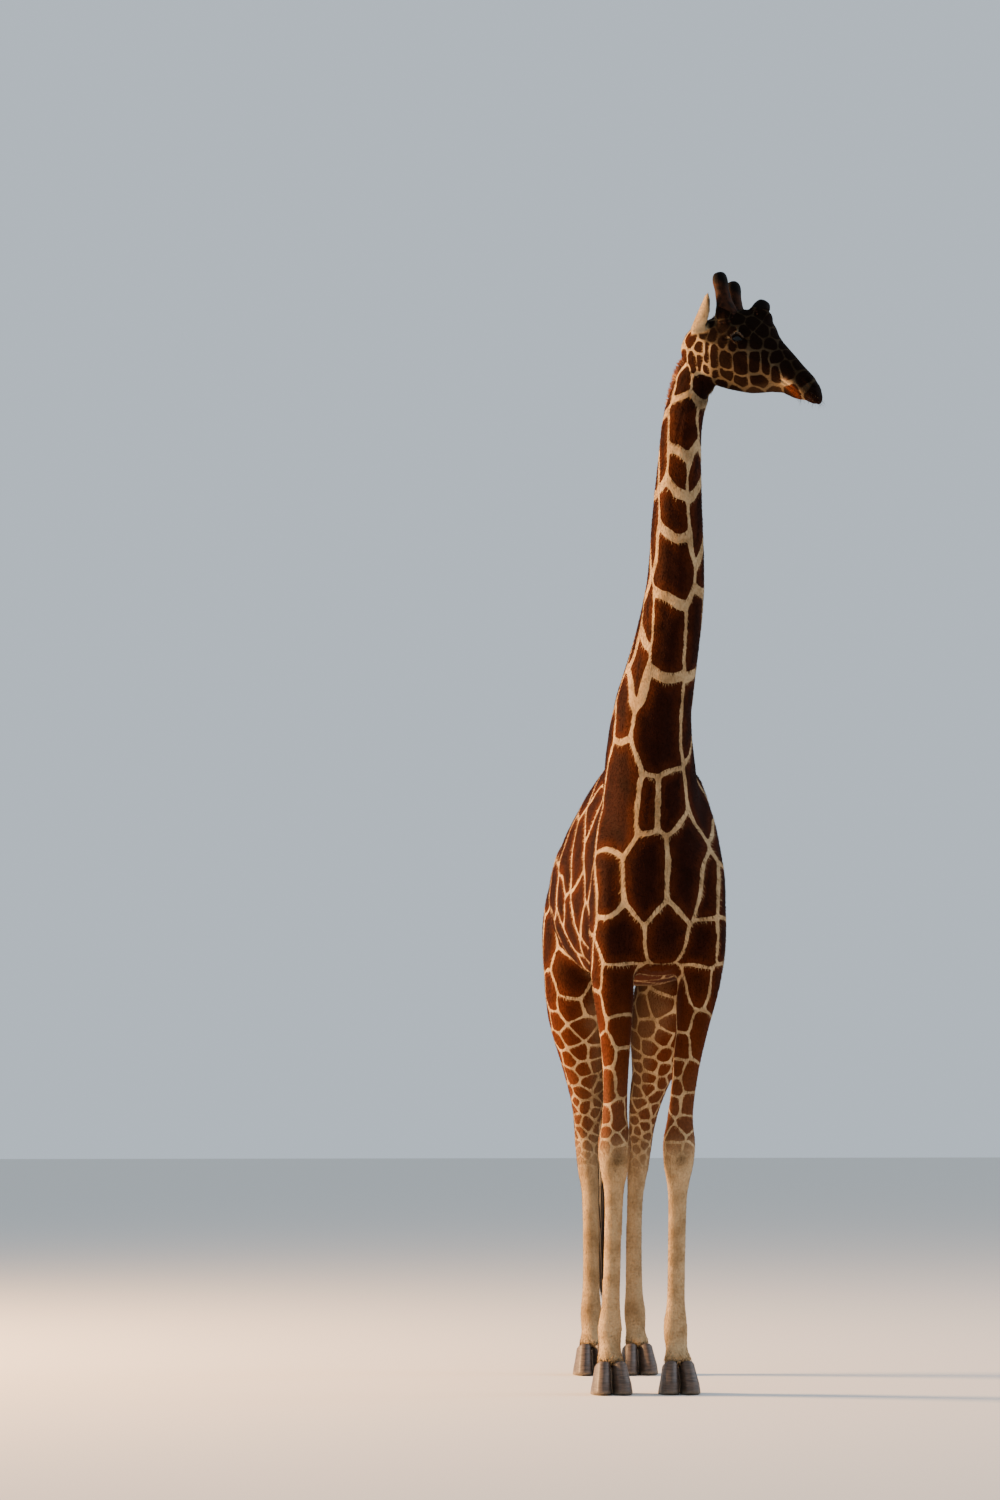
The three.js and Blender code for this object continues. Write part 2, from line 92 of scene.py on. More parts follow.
eye_low, eye_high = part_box("eye_left")
own_zero = np.array((eye_low + eye_high) / 2) - (head_axes @ spot(*EYE) + spot(*POLL))
poll = own_zero + spot(*POLL)


def on_head(across, fore, up):
    """A point of the head's own frame, in the world."""
    return poll + head_axes @ spot(across, fore, up)


def head_places(points):
    """World points as millimetres across, fore and up on the head."""
    own = (points - poll) @ head_axes / MM
    return own * (1, -1, 1)


def body_places(points):
    """World points as millimetres across, fore and up on the standing animal."""
    return (points - own_zero) / MM * (1, -1, 1)


def step(low, high, value):
    """0 below low, 1 above high, and a smooth rise between."""
    t = np.clip((value - low) / (high - low), 0, 1)
    return t * t * (3 - 2 * t)


def read(items, field, width=1, kind=np.float32):
    """One field of every item of a mesh, as rows of a width."""
    flat = np.empty(len(items) * width, kind)
    items.foreach_get(field, flat)
    return flat.reshape(-1, width) if width > 1 else flat


def fall(low, high, value):
    """1 below low, 0 above high, and a smooth fall between."""
    return 1 - step(low, high, value)


def points_of(mesh):
    return read(mesh.vertices, "co", 3).astype(float)


def normals_of(mesh):
    return read(mesh.vertices, "normal", 3).astype(float)


def face_centres(mesh):
    return read(mesh.polygons, "center", 3).astype(float)


def edge_ends(mesh):
    return read(mesh.edges, "vertices", 2, np.int32)


def unit(values):
    """The same directions, each 1 long."""
    return values / np.maximum(np.linalg.norm(values, axis=-1, keepdims=True), 1e-9)


def bell(offset, width):
    """1 at 0 and falling smoothly away over a width."""
    return np.exp(-((offset / width) ** 2))


def move_to(mesh, points):
    mesh.vertices.foreach_set("co", points.astype(np.float32).ravel())
    mesh.update()


def mesh_of(work, name):
    """The finished mesh of a bmesh, which is then let go."""
    mesh = bpy.data.meshes.new(name)
    work.to_mesh(mesh)
    work.free()
    return mesh


def joined(names, grow=0.0):
    """The named solids in one mesh, with their loose triangles merged and grown a little."""
    shell = bmesh.new()
    for name in names:
        shell.from_mesh(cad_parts[name].data)
    bmesh.ops.remove_doubles(shell, verts=shell.verts, dist=1e-6)
    shell.normal_update()
    for corner in shell.verts:
        corner.co += corner.normal * grow
    return mesh_of(shell, "joined")


def new_piece(name, mesh):
    piece = bpy.data.objects.new(name, mesh)
    bpy.context.scene.collection.objects.link(piece)
    return piece


def remeshed(name, mesh, size):
    """A new piece of a mesh's shape, in faces of an even size."""
    piece = new_piece(name, mesh)
    voxels = piece.modifiers.new("voxels", "REMESH")
    voxels.mode = "VOXEL"
    voxels.voxel_size = size
    bpy.context.view_layer.update()
    seen = piece.evaluated_get(bpy.context.evaluated_depsgraph_get())
    made = bpy.data.meshes.new_from_object(seen)
    piece.modifiers.clear()
    piece.data = made
    return piece


def neighbour_mean(values, ends, counts):
    total = np.empty_like(values)
    for k in range(values.shape[1]):
        column = values[:, k]
        total[:, k] = np.bincount(ends[:, 0], column[ends[:, 1]], len(values))
        total[:, k] += np.bincount(ends[:, 1], column[ends[:, 0]], len(values))
    return total / counts[:, None]


def evened(points, ends, rounds):
    """Smooths facets away without shrinking what is wider than they are."""
    counts = np.maximum(np.bincount(ends.ravel(), minlength=len(points)), 1)
    for _ in range(rounds):
        for share in (0.5, -0.51):
            points = points + share * (neighbour_mean(points, ends, counts) - points)
    return points


# The head is enlarged before the voxels are laid and made small again after, so it gets finer ones.
ladder = np.linspace(-1, 6, 7001)
fineness = 1 + (HEAD_FINENESS - 1) * step(NECK_COARSE, NECK_FINE, ladder)
stretched = np.concatenate(([ladder[0]], ladder[0] + np.cumsum(fineness[:-1] * np.diff(ladder))))


def enlarge(points):
    scale = np.interp(points[:, 2], ladder, fineness)[:, None]
    level = poll[:2] + (points[:, :2] - poll[:2]) * scale
    return np.column_stack((level, np.interp(points[:, 2], ladder, stretched)))


def diminish(points):
    height = np.interp(points[:, 2], stretched, ladder)
    scale = np.interp(height, ladder, fineness)[:, None]
    return np.column_stack((poll[:2] + (points[:, :2] - poll[:2]) / scale, height))


FILLERS = "eye_left eye_right horn_left horn_right horn_nasal".split()  # the hide runs under these
LONGEST_EDGE = 0.03  # the change of scale would bend longer ones, so they are cut first
CUT_FROM = NECK_COARSE - 0.1  # the height from which they are cut
CUT_ROUNDS = 5
flesh = joined(FLESH + FILLERS, OVERLAP)
for _ in range(CUT_ROUNDS):
    work = bmesh.new()
    work.from_mesh(flesh)
    chosen = [
        edge
        for edge in work.edges
        if max(corner.co.z for corner in edge.verts) > CUT_FROM and edge.calc_length() > LONGEST_EDGE
    ]
    bmesh.ops.subdivide_edges(work, edges=chosen, cuts=1)
    bmesh.ops.triangulate(work, faces=work.faces)
    work.to_mesh(flesh)
    work.free()
move_to(flesh, enlarge(points_of(flesh)))
skin = remeshed("skin", flesh, VOXEL)
hide = diminish(points_of(skin.data))
hide = evened(hide, edge_ends(skin.data), SMOOTH_ROUNDS)
move_to(skin.data, hide)

# The coat's depth, less on the face and least on the ears.
ear_boxes = [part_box(name) for name in ("ear_left", "ear_right")]


def ear_share(points):
    """1 on the blades of the ears."""
    share = np.zeros(len(points))
    for low, high in ear_boxes:
        reach = np.maximum(np.array(low) - points, points - np.array(high)).max(1)
        share = np.maximum(share, fall(-0.012, 0.002, reach))
    head = head_places(points)
    return share * step(70, 96, np.abs(head[:, 0])) * fall(100, 150, head[:, 1])


head = head_places(hide)
on_face = step(4.35, 4.6, hide[:, 2]) * step(-60, 60, head[:, 1])
depth = COAT_DEPTH["body"] + (COAT_DEPTH["head"] - COAT_DEPTH["body"]) * on_face
depth += (COAT_DEPTH["ear"] - depth) * ear_share(hide)
hide = hide - normals_of(skin.data) * depth[:, None] * MM
move_to(skin.data, hide)


# Finer faces round the eyes, where the lids are.
LID_REACH = 0.052  # metres from an eye's middle


def refine(mesh, chosen):
    """Cuts the chosen faces in four."""
    work = bmesh.new()
    work.from_mesh(mesh)
    work.faces.ensure_lookup_table()
    edges = {edge for i in np.flatnonzero(chosen) for edge in work.faces[i].edges}
    bmesh.ops.subdivide_edges(work, edges=list(edges), cuts=1, use_grid_fill=True)
    work.to_mesh(mesh)
    work.free()


eye_centres = {way: on_head(way * EYE[0], *EYE[1:]) for way in (1, -1)}
from_eyes = [np.linalg.norm(face_centres(skin.data) - c, axis=1) for c in eye_centres.values()]
refine(skin.data, np.min(from_eyes, axis=0) < LID_REACH)

# The lids: an almond opening over each eyeball, with a rolled rim and a fold above it.
LID_HALF_LENGTH, LID_UPPER, LID_LOWER = 30, 16, 13
LID_RIM = 4.2  # the rim's height over the eyeball
LID_SPREAD = 24
EYE_TILT = math.radians(20)


def eye_axes(way):
    """Outward, along the opening toward the nose, and up, on the head's own frame."""
    out = np.array((way, 0.2, 0.1))
    out /= np.linalg.norm(out)
    along = np.array((0, math.cos(EYE_TILT), math.sin(EYE_TILT)))
    along -= out * (along @ out)
    along /= np.linalg.norm(along)
    up = np.array((0, -math.sin(EYE_TILT), math.cos(EYE_TILT)))
    up -= out * (up @ out) + along * (up @ along)
    return out, along, up / np.linalg.norm(up)


def lid_distance(a, b):
    """How far outside the opening a place is: a along it and b up, in millimetres."""
    arch = np.clip(1 - (a / LID_HALF_LENGTH) ** 2, 0, 1)
    over = np.where(b > 0, b - LID_UPPER * arch, -b - LID_LOWER * arch)
    beyond = np.maximum(np.abs(a) - LID_HALF_LENGTH, 0)
    return np.where(beyond > 0, np.hypot(beyond, b), over)


def round_eye(head, way):
    """The head's points from one eye: along and up its arc, reach, outward and the whole way."""
    out, along, up = eye_axes(way)
    from_eye = head - np.array((way * EYE[0], *EYE[1:]))
    reach = np.linalg.norm(from_eye, axis=1)
    forward = from_eye @ out
    a = np.arctan2(from_eye @ along, forward) * EYE_RADIUS
    b = np.arctan2(from_eye @ up, forward) * EYE_RADIUS
    return a, b, reach, forward, from_eye


def to_world(head):
    return poll + (head * (1, -1, 1) * MM) @ head_axes.T


hide = points_of(skin.data)
head = head_places(hide)
for way in (1, -1):
    a, b, reach, forward, from_eye = round_eye(head, way)
    near = (reach < 70) & (forward > 2)
    d = lid_distance(a, b)
    fold = -1.8 * bell(d - 9, 2.4) * (b > 0)
    rim = EYE_RADIUS + LID_RIM * np.clip(1 - (d / 60), 0, 1)
    outer = rim + (reach - rim) * step(2, LID_SPREAD, d) + fold
    inner = EYE_RADIUS + LID_RIM - (LID_RIM + 7) * step(0, 3.5, -d)
    wanted = np.where(d > 0, outer, inner)
    head = np.where(near[:, None], head - from_eye + from_eye * (wanted / reach)[:, None], head)
hide = to_world(head)
move_to(skin.data, hide)

# Nostrils, the line of the mouth and the forms of the skull, pressed in or raised along the normals.
MOUTH_LINE = ((520, -50), (560, -57), (610, -66), (676, -77), (720, -84))  # fore and up
NOSTRIL = ((642, 2), (686, -18))
FACE_FORMS = (  # fore, up, half length, half height, rise: on both sides
    (330, -95, 75, 60, 4.0),  # cheek muscle
    (392, -20, 70, 13, 3.4),  # crest under the eye
    (440, -72, 60, 26, -3.4),  # hollow under the crest
    (470, 30, 60, 22, -2.5),  # hollow beside the nose
    (180, 40, 34, 40, -3.5),  # hollow behind the brow
    (560, -96, 46, 16, 3.0),  # lower lip
    (600, -40, 50, 22, 2.6),  # upper lip
    (205, -150, 40, 36, 2.5),  # angle of the jaw
)


def bump_over(places, centre, reach):
    """1 at a centre and falling smoothly away over a reach of its own each way."""
    return np.exp(-(((places - np.array(centre)) / np.array(reach)) ** 2).sum(1))


def from_line(places, first, last):
    """How far places are from a short line, and how far along it the nearest of it is."""
    way = last - first
    share = np.clip(((places - first) @ way) / (way @ way), 0, 1)
    return np.linalg.norm(places - first - share[:, None] * way, axis=1), share


side = np.abs(head[:, 0]) > 12
line = np.interp(head[:, 1], *np.transpose(MOUTH_LINE))
in_mouth = step(524, 545, head[:, 1]) * (np.abs(head[:, 2]) < 140)
press = -5.5 * bell(head[:, 2] - line, 3.4) * in_mouth
away, _ = from_line(head[:, 1:], *np.array(NOSTRIL, float))
press += (-8 * bell(away, 4.2) + 2.4 * bell(away - 11, 5)) * side
for fore, up, *reach, rise in FACE_FORMS:
    press += rise * side * bump_over(head[:, 1:], (fore, up), reach)
press *= step(4.3, 4.5, hide[:, 2]) * (1 - ear_share(hide)) * step(90, 140, head[:, 1])

# The neck's middle line, and how far round it a place is from the front of the throat.
NECK_LINE = (  # up, across, fore and turn in degrees
    (2560, -6, 500, 0), (2820, -36, 608, 0), (3090, -40, 712, 0), (3370, 8, 812, 3), (3660, 44, 905, 6),
    (3950, 43, 985, 9), (4220, 47, 1042, 13), (4400, 59, 1072, 20), (4540, 95, 1088, 28),
)


def round_neck(body):
    """The turn round the neck from the throat's front, in radians, and the reach from its middle."""
    heights, *rest = np.transpose(NECK_LINE)
    across, fore, turn = (np.interp(body[:, 2], heights, values) for values in rest)
    right, ahead = body[:, 0] - across, body[:, 1] - fore
    angle = np.arctan2(right, ahead) - np.radians(turn)
    return (angle + math.pi) % (2 * math.pi) - math.pi, np.hypot(right, ahead)


BODY_FORMS = (  # out to each side, fore, up, then the reach each way, and the rise
    (235, 700, 2350, 90, 90, 110, 9),  # point of the shoulder
    (205, 480, 2760, 60, 90, 150, 6),  # top of the shoulder blade
    (265, 600, 2560, 80, 60, 160, 5),  # its spine
    (290, 440, 2480, 90, 60, 200, -7),  # hollow behind it
    (270, 430, 2010, 80, 70, 80, 10),  # elbow
    (310, -520, 2500, 80, 70, 70, 12),  # point of the hip
    (110, -980, 2400, 60, 60, 60, 8),  # pin bone
    (380, -400, 2330, 90, 110, 120, -12),  # flank
    (330, -470, 1960, 80, 80, 90, 9),  # stifle
    (240, -880, 2120, 90, 60, 160, -6),  # groove down the back of the thigh
    (215, -700, 1700, 70, 60, 120, 6),  # gaskin's muscle
    (200, 640, 1800, 70, 60, 130, 6),  # forearm's muscle
)
body = body_places(hide)
for out, fore, up, *reach, rise in BODY_FORMS:
    for way in (1, -1):
        sway = -27 * (up < 2050)  # the limbs' middle is to one side of the trunk's
        press += rise * bump_over(body, (way * out + sway, fore, up), reach)
ribs = np.sin(body[:, 1] * 2 * math.pi / 92 + body[:, 2] * 0.006)
press += 1.3 * ribs * bump_over(body[:, 1:], (30, 2260), (300, 240))
turn, reach = round_neck(body)
on_neck = step(2650, 3000, body[:, 2]) * fall(4380, 4500, body[:, 2])
from_middle = turn * reach
press += on_neck * 4.5 * bell(from_middle, 26)  # windpipe
press -= on_neck * 4.5 * bell(np.abs(from_middle) - 62, 20)  # jugular grooves
# The breast's upright wrinkles, and the level folds of the hide between the forearms.
on_breast = bump_over(body, (-25, 790, 2070), (95, 150, 95))
press += on_breast * 5 * (np.abs(np.sin((body[:, 0] + 25 + 8 * np.sin(body[:, 2] / 40)) / 14)) - 0.5)
wavy = body + np.array((0, 0, 1)) * (5 * np.sin(body[:, 0] / 17) - 0.22 * (body[:, 0] + 15))[:, None]
for up, rise in ((1990, 4), (1972, -4), (1956, 5), (1938, -5), (1922, 5), (1904, -3)):
    press += rise * bump_over(wavy, (-15, 700, up), (62, 150, 8))
# The knees' flat fronts, with a crease over and under each.
KNEE_OUT, KNEE_SWAY = 148, -52  # from the middle of the two, and where that middle is
for way in (1, -1):
    for fore, up, rise, reach in ((700, 1105, 4, 70), (690, 1188, -3, 16), (690, 1030, -3, 16)):
        press += rise * bump_over(body, (way * KNEE_OUT + KNEE_SWAY, fore, up), (50, 65, reach))
# The tendons behind the cannon bones.
cannons = step(320, 400, body[:, 2]) * fall(880, 980, body[:, 2])
for fore, out, sway in ((600, 148, -60), (-884, 108, -37)):
    for way in (1, -1):
        centre = way * out + sway
        on_side = np.abs(body[:, 0] - centre) > 20
        near = (np.abs(body[:, 0] - centre) < 90) & (np.abs(body[:, 1] - fore) < 120)
        press -= 3.2 * cannons * on_side * near * bell(body[:, 1] - fore + 14, 10)
hide = hide + normals_of(skin.data) * press[:, None] * MM
move_to(skin.data, hide)
skin.data.shade_smooth()
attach(skin, "root")
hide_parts(*FLESH)
skin_tree = BVHTree.FromPolygons(hide.tolist(), [tuple(face.vertices) for face in skin.data.polygons])

# ---- Markings: each patch grows from a short line at its middle, with its own half width, and the
# cream net runs where two patches meet. Those in front are listed; the rest space themselves.
# Each row is x and y at the line's two ends in the frame, and the half width, all in its pixels.
NECK_PATCHES = (
    (683, 356, 679, 366, 3), (682, 377, 682, 387, 7), (703, 383, 703, 388, 7),
    (667, 385, 666, 402, 3), (683, 415, 684, 435, 13), (701, 418, 701, 432, 5),
    (664, 430, 663, 470, 5), (679, 462, 676, 480, 9), (695, 462, 695, 480, 7),
    (656, 476, 655, 488, 3), (671, 500, 675, 527, 11), (697, 505, 698, 540, 8),
    (655, 508, 653, 545, 6), (673, 558, 673, 580, 17), (703, 562, 702, 578, 6),
    (649, 565, 648, 578, 3), (648, 605, 647, 632, 6), (669, 613, 666, 662, 14),
    (696, 610, 694, 655, 9), (638, 618, 635, 646, 4), (640, 657, 636, 682, 11),
    (628, 693, 621, 732, 9), (662, 700, 655, 745, 20), (689, 692, 688, 735, 7),
    (611, 735, 603, 775, 7),
)
CHEST_PATCHES = (
    (622, 765, 620, 828, 19), (650, 789, 645, 822, 7), (667, 788, 669, 818, 7),
    (695, 770, 702, 812, 15), (597, 800, 592, 815, 6), (594, 833, 591, 866, 7),
    (568, 845, 566, 876, 6), (579, 842, 577, 872, 4), (592, 896, 591, 914, 8),
    (562, 892, 562, 904, 5), (553, 880, 554, 892, 4), (609, 862, 612, 905, 9),
    (648, 862, 647, 896, 20), (688, 856, 686, 890, 20), (666, 922, 666, 942, 17),
    (624, 930, 622, 946, 18), (703, 938, 702, 952, 14), (708, 875, 704, 905, 10),
    (723, 880, 723, 905, 5), (722, 930, 721, 952, 5), (717, 832, 719, 850, 5),
    (578, 895, 577, 905, 5), (568, 915, 569, 930, 5), (589, 938, 590, 950, 7),
    (547, 938, 547, 955, 7), (549, 982, 550, 1000, 5), (564, 975, 570, 985, 8),
)
LEG_PATCHES = (
    (620, 978, 618, 1002, 14), (621, 1022, 621, 1038, 8), (596, 960, 596, 980, 5),
    (598, 1003, 600, 1022, 6), (606, 1044, 608, 1056, 7), (609, 1078, 609, 1094, 6),
    (623, 1056, 622, 1088, 6), (619, 1108, 619, 1122, 6), (607, 1114, 607, 1118, 4),
    (627, 1104, 628, 1114, 4), (606, 1131, 606, 1132, 3), (626, 1132, 626, 1134, 3),
    (617, 1140, 617, 1141, 3), (682, 995, 683, 1022, 6), (700, 976, 699, 990, 10),
    (681, 1042, 681, 1052, 5), (701, 1026, 700, 1050, 7), (679, 1066, 678, 1070, 4),
    (677, 1086, 676, 1090, 4), (674, 1102, 674, 1107, 4), (667, 1120, 666, 1128, 4),
    (692, 1072, 691, 1082, 7), (690, 1102, 689, 1108, 6), (688, 1122, 688, 1124, 5),
    (716, 975, 713, 1000, 5),
)
FACE_PATCHES = (
    (707, 348, 707, 360, 2.3), (713, 351, 714, 364, 3.4), (700, 347, 701, 349, 2.8),
    (725, 359, 726, 364, 4.8), (741, 361, 741, 368, 6.2), (754, 360, 754, 368, 4.4),
    (766, 357, 766, 371, 2.7), (775, 370, 775, 376, 2.6), (705, 369, 706, 371, 3.4),
    (716, 374, 717, 376, 3.5), (723, 373, 729, 375, 3.6), (738, 380, 744, 381, 3.6),
    (754, 379, 763, 380, 3.6), (700, 358, 700, 368, 2), (772, 359, 778, 358, 3),
    (719, 380, 724, 383, 2.6), (693, 360, 694, 366, 2.6), (784, 366, 788, 372, 3),
)
FRAME_MIDDLE = (500, 750)
EDGE_SEARCH = 14  # pixels to either side, where a row's place lies just off the hide
LOWEST_PATCH = 0.95  # metres up, in the knees' fade to plain
SEEDS, SAMPLES, EVENING_ROUNDS = 24000, 30000, 4  # places tried for patches, and then shared out
CLEAR_OF_LAID, CLEAR_OF_GROWN, GROWN_HALF = 0.62, 0.92, 0.3  # of a patch's size
PAIRS = ((0, 1), (0, 2), (1, 2))  # the borders between a place's three patches
AT_ONCE = 20000  # places measured in one go
RANDOM = np.random.default_rng(7)
lens_axes = np.array(camera.matrix_world.to_3x3())


def seen_at(x, y):
    """Where the hide is under a pixel of the frame, or just inside its edge."""
    for aside in sorted(range(-EDGE_SEARCH, EDGE_SEARCH + 1), key=abs):
        right, up = x + aside - FRAME_MIDDLE[0], FRAME_MIDDLE[1] - y
        ray = lens_axes @ (right / FOCAL_PIXELS, up / FOCAL_PIXELS, -1)
        hit = skin_tree.ray_cast(Vector(CAMERA_PLACE), Vector(ray).normalized())[0]
        if hit is not None:
            return np.array(hit)
    raise ValueError(f"no hide at {x}, {y}")


# Patches are taller than wide on the neck: heights are pressed together before they are measured.
TALLNESS = 1 + 0.25 * step(1.6, 2.2, ladder) + 0.45 * step(2.9, 3.5, ladder)
TALLNESS -= 0.55 * step(4.3, 4.6, ladder)
pressed = np.concatenate(([0], np.cumsum(np.diff(ladder) / TALLNESS[:-1])))


def press_heights(points):
    return np.column_stack((points[:, :2], np.interp(points[:, 2], ladder, pressed)))


starts, ends, halves = [], [], []
for x0, y0, x1, y1, half in NECK_PATCHES + CHEST_PATCHES + LEG_PATCHES + FACE_PATCHES:
    first, last = seen_at(x0, y0), seen_at(x1, y1)
    pair = [(first, last)]
    if (x0, y0, x1, y1, half) in FACE_PATCHES:
        local = head_places(np.array((first, last))) * (-1, 1, 1)
        pair.append(tuple(to_world(local)))
    for first, last in pair:
        away = np.linalg.norm(first - np.array(CAMERA_PLACE))
        starts.append(first)
        ends.append(last)
        halves.append(half * away / FOCAL_PIXELS)
fixed = len(starts)


def patch_size(points):
    """How wide the patches are at each place, in metres."""
    up = points[:, 2]
    body = body_places(points)
    size = np.interp(
        up,
        (0.9, 1.15, 1.5, 1.75, 2.1, 2.7, 3.2, 4.0, 4.6),
        (0.05, 0.06, 0.10, 0.15, 0.22, 0.22, 0.19, 0.14, 0.09),
    )
    hind = step(-350, -600, body[:, 1]) * fall(2300, 2600, body[:, 2])
    size = size * (1 - 0.35 * hind * step(2.3, 1.7, up))
    on_head = step(4.45, 4.6, up) * step(40, 120, head_places(points)[:, 1])
    return size + (0.05 - size) * on_head


def line_distances(points, starts, ends, halves):
    """The distance from each point to each patch's middle line, less the patch's half width."""
    along = ends - starts
    square = np.maximum((along**2).sum(1), 1e-9)
    toward, offset = points @ along.T, (starts * along).sum(1)
    share = np.clip((toward - offset) / square, 0, 1)
    total = (points**2).sum(1)[:, None] + (starts**2).sum(1)
    total += share * share * square
    total -= 2 * (points @ starts.T)
    total -= 2 * share * toward
    total += 2 * share * offset
    return np.sqrt(np.maximum(total, 0)) - halves


flat = press_heights(hide)
sizes = patch_size(hide)
marked = np.flatnonzero(hide[:, 2] > LOWEST_PATCH)
starts, ends = press_heights(np.array(starts)), press_heights(np.array(ends))
halves = np.array(halves)
order = RANDOM.permutation(marked)[:SEEDS]
gap_to_laid = line_distances(flat[order], starts, ends, halves).min(1)
grown, grown_size = [], []
for i, gap in zip(order, gap_to_laid):
    if gap < CLEAR_OF_LAID * sizes[i]:
        continue
    if grown and (np.linalg.norm(np.array(grown) - flat[i], axis=1) < CLEAR_OF_GROWN * sizes[i]).any():
        continue
    grown.append(flat[i])
    grown_size.append(sizes[i])
grown, grown_size = np.array(grown), np.array(grown_size)
sample = flat[RANDOM.permutation(marked)[:SAMPLES]]
halves = np.concatenate((halves, GROWN_HALF * grown_size))
for _ in range(EVENING_ROUNDS):
    owner = line_distances(sample, np.vstack((starts, grown)), np.vstack((ends, grown)), halves).argmin(1)
    for j in range(len(grown)):
        mine = sample[owner == fixed + j]
        if len(mine):
            grown[j] = mine.mean(0)
starts, ends = np.vstack((starts, grown)), np.vstack((ends, grown))


def three_nearest(points):
    """The three patches nearest to each point."""
    chosen = np.empty((len(points), 3), int)
    for low in range(0, len(points), AT_ONCE):
        part = line_distances(points[low : low + AT_ONCE], starts, ends, halves)
        best = np.argpartition(part, 3, axis=1)[:, :3]
        ranked = np.take_along_axis(part, best, 1).argsort(1)
        chosen[low : low + AT_ONCE] = np.take_along_axis(best, ranked, 1)
    return chosen


def border_distances(points, chosen):
    """How far each point is from the borders between its three patches, in millimetres."""
    place = press_heights(points)
    tall = np.interp(points[:, 2], ladder, TALLNESS)
    away, toward = [], []
    for k in range(3):
        first, last = starts[chosen[:, k]], ends[chosen[:, k]]
        along = last - first
        square = np.maximum((along**2).sum(1), 1e-9)
        share = np.clip(((place - first) * along).sum(1) / square, 0, 1)[:, None]
        leg = place - (first + share * along)
        reach = np.linalg.norm(leg, axis=1)
        away.append(reach - halves[chosen[:, k]])
        toward.append(leg / np.maximum(reach, 1e-6)[:, None])
    found = []
    for i, j in PAIRS:
        slope = toward[j] - toward[i]
        slope[:, 2] /= tall
        slope = np.maximum(np.linalg.norm(slope, axis=1), 0.35)
        found.append((away[j] - away[i]) / slope / MM)
    return np.stack(found, 1)


def line_halves(points, chosen):
    """Half the width of the cream line between each pair of patches, in millimetres."""
    up = points[:, 2]
    body = body_places(points)
    base = np.interp(up, (0.9, 1.2, 1.7, 2.1, 2.6, 3.2, 3.6, 4.5), (4.5, 5, 6.5, 8, 8, 7.5, 7, 7))
    in_front = step(500, 760, body[:, 1]) * step(2.0, 2.3, up)
    base = base + 3.5 * in_front * fall(3.0, 3.3, up)
    on_head = step(4.45, 4.62, up) * step(20, 80, head_places(points)[:, 1])
    base = base + (3.6 - base) * on_head
    found = []
    for i, j in PAIRS:
        apart = (starts + ends)[chosen[:, j]] - (starts + ends)[chosen[:, i]]
        level = np.abs(apart[:, 2]) / np.maximum(np.linalg.norm(apart, axis=1), 1e-6)
        band = step(0.55, 0.95, level) * step(2.9, 3.2, up) * (1 - on_head)
        front = step(-0.2, 0.9, step(0, 200, body[:, 1] - np.interp(up, (2.8, 4.7), (560, 1000))))
        found.append(base * (1 + 2.1 * band * front))
    return np.stack(found, 1)


FACE_LINE = (  # fore and up: the dark of the face, partly its own dark hair and partly painted shade, lies above this
    (40, 4), (100, -22), (145, -38), (230, -24), (312, -6), (380, 10), (430, 8), (466, -4), (505, -16),
    (530, -26), (546, -60), (572, -240),
)
JAW_LINE = ((330, -160), (400, -122), (450, -100), (500, -72), (548, -48))  # the pale jaw lies below
LIP_CORNER = ((556, -52), (628, -84))  # fore and up: the ends of the rufous streak
MIDLINE = -35  # across, where the trunk's middle plane is


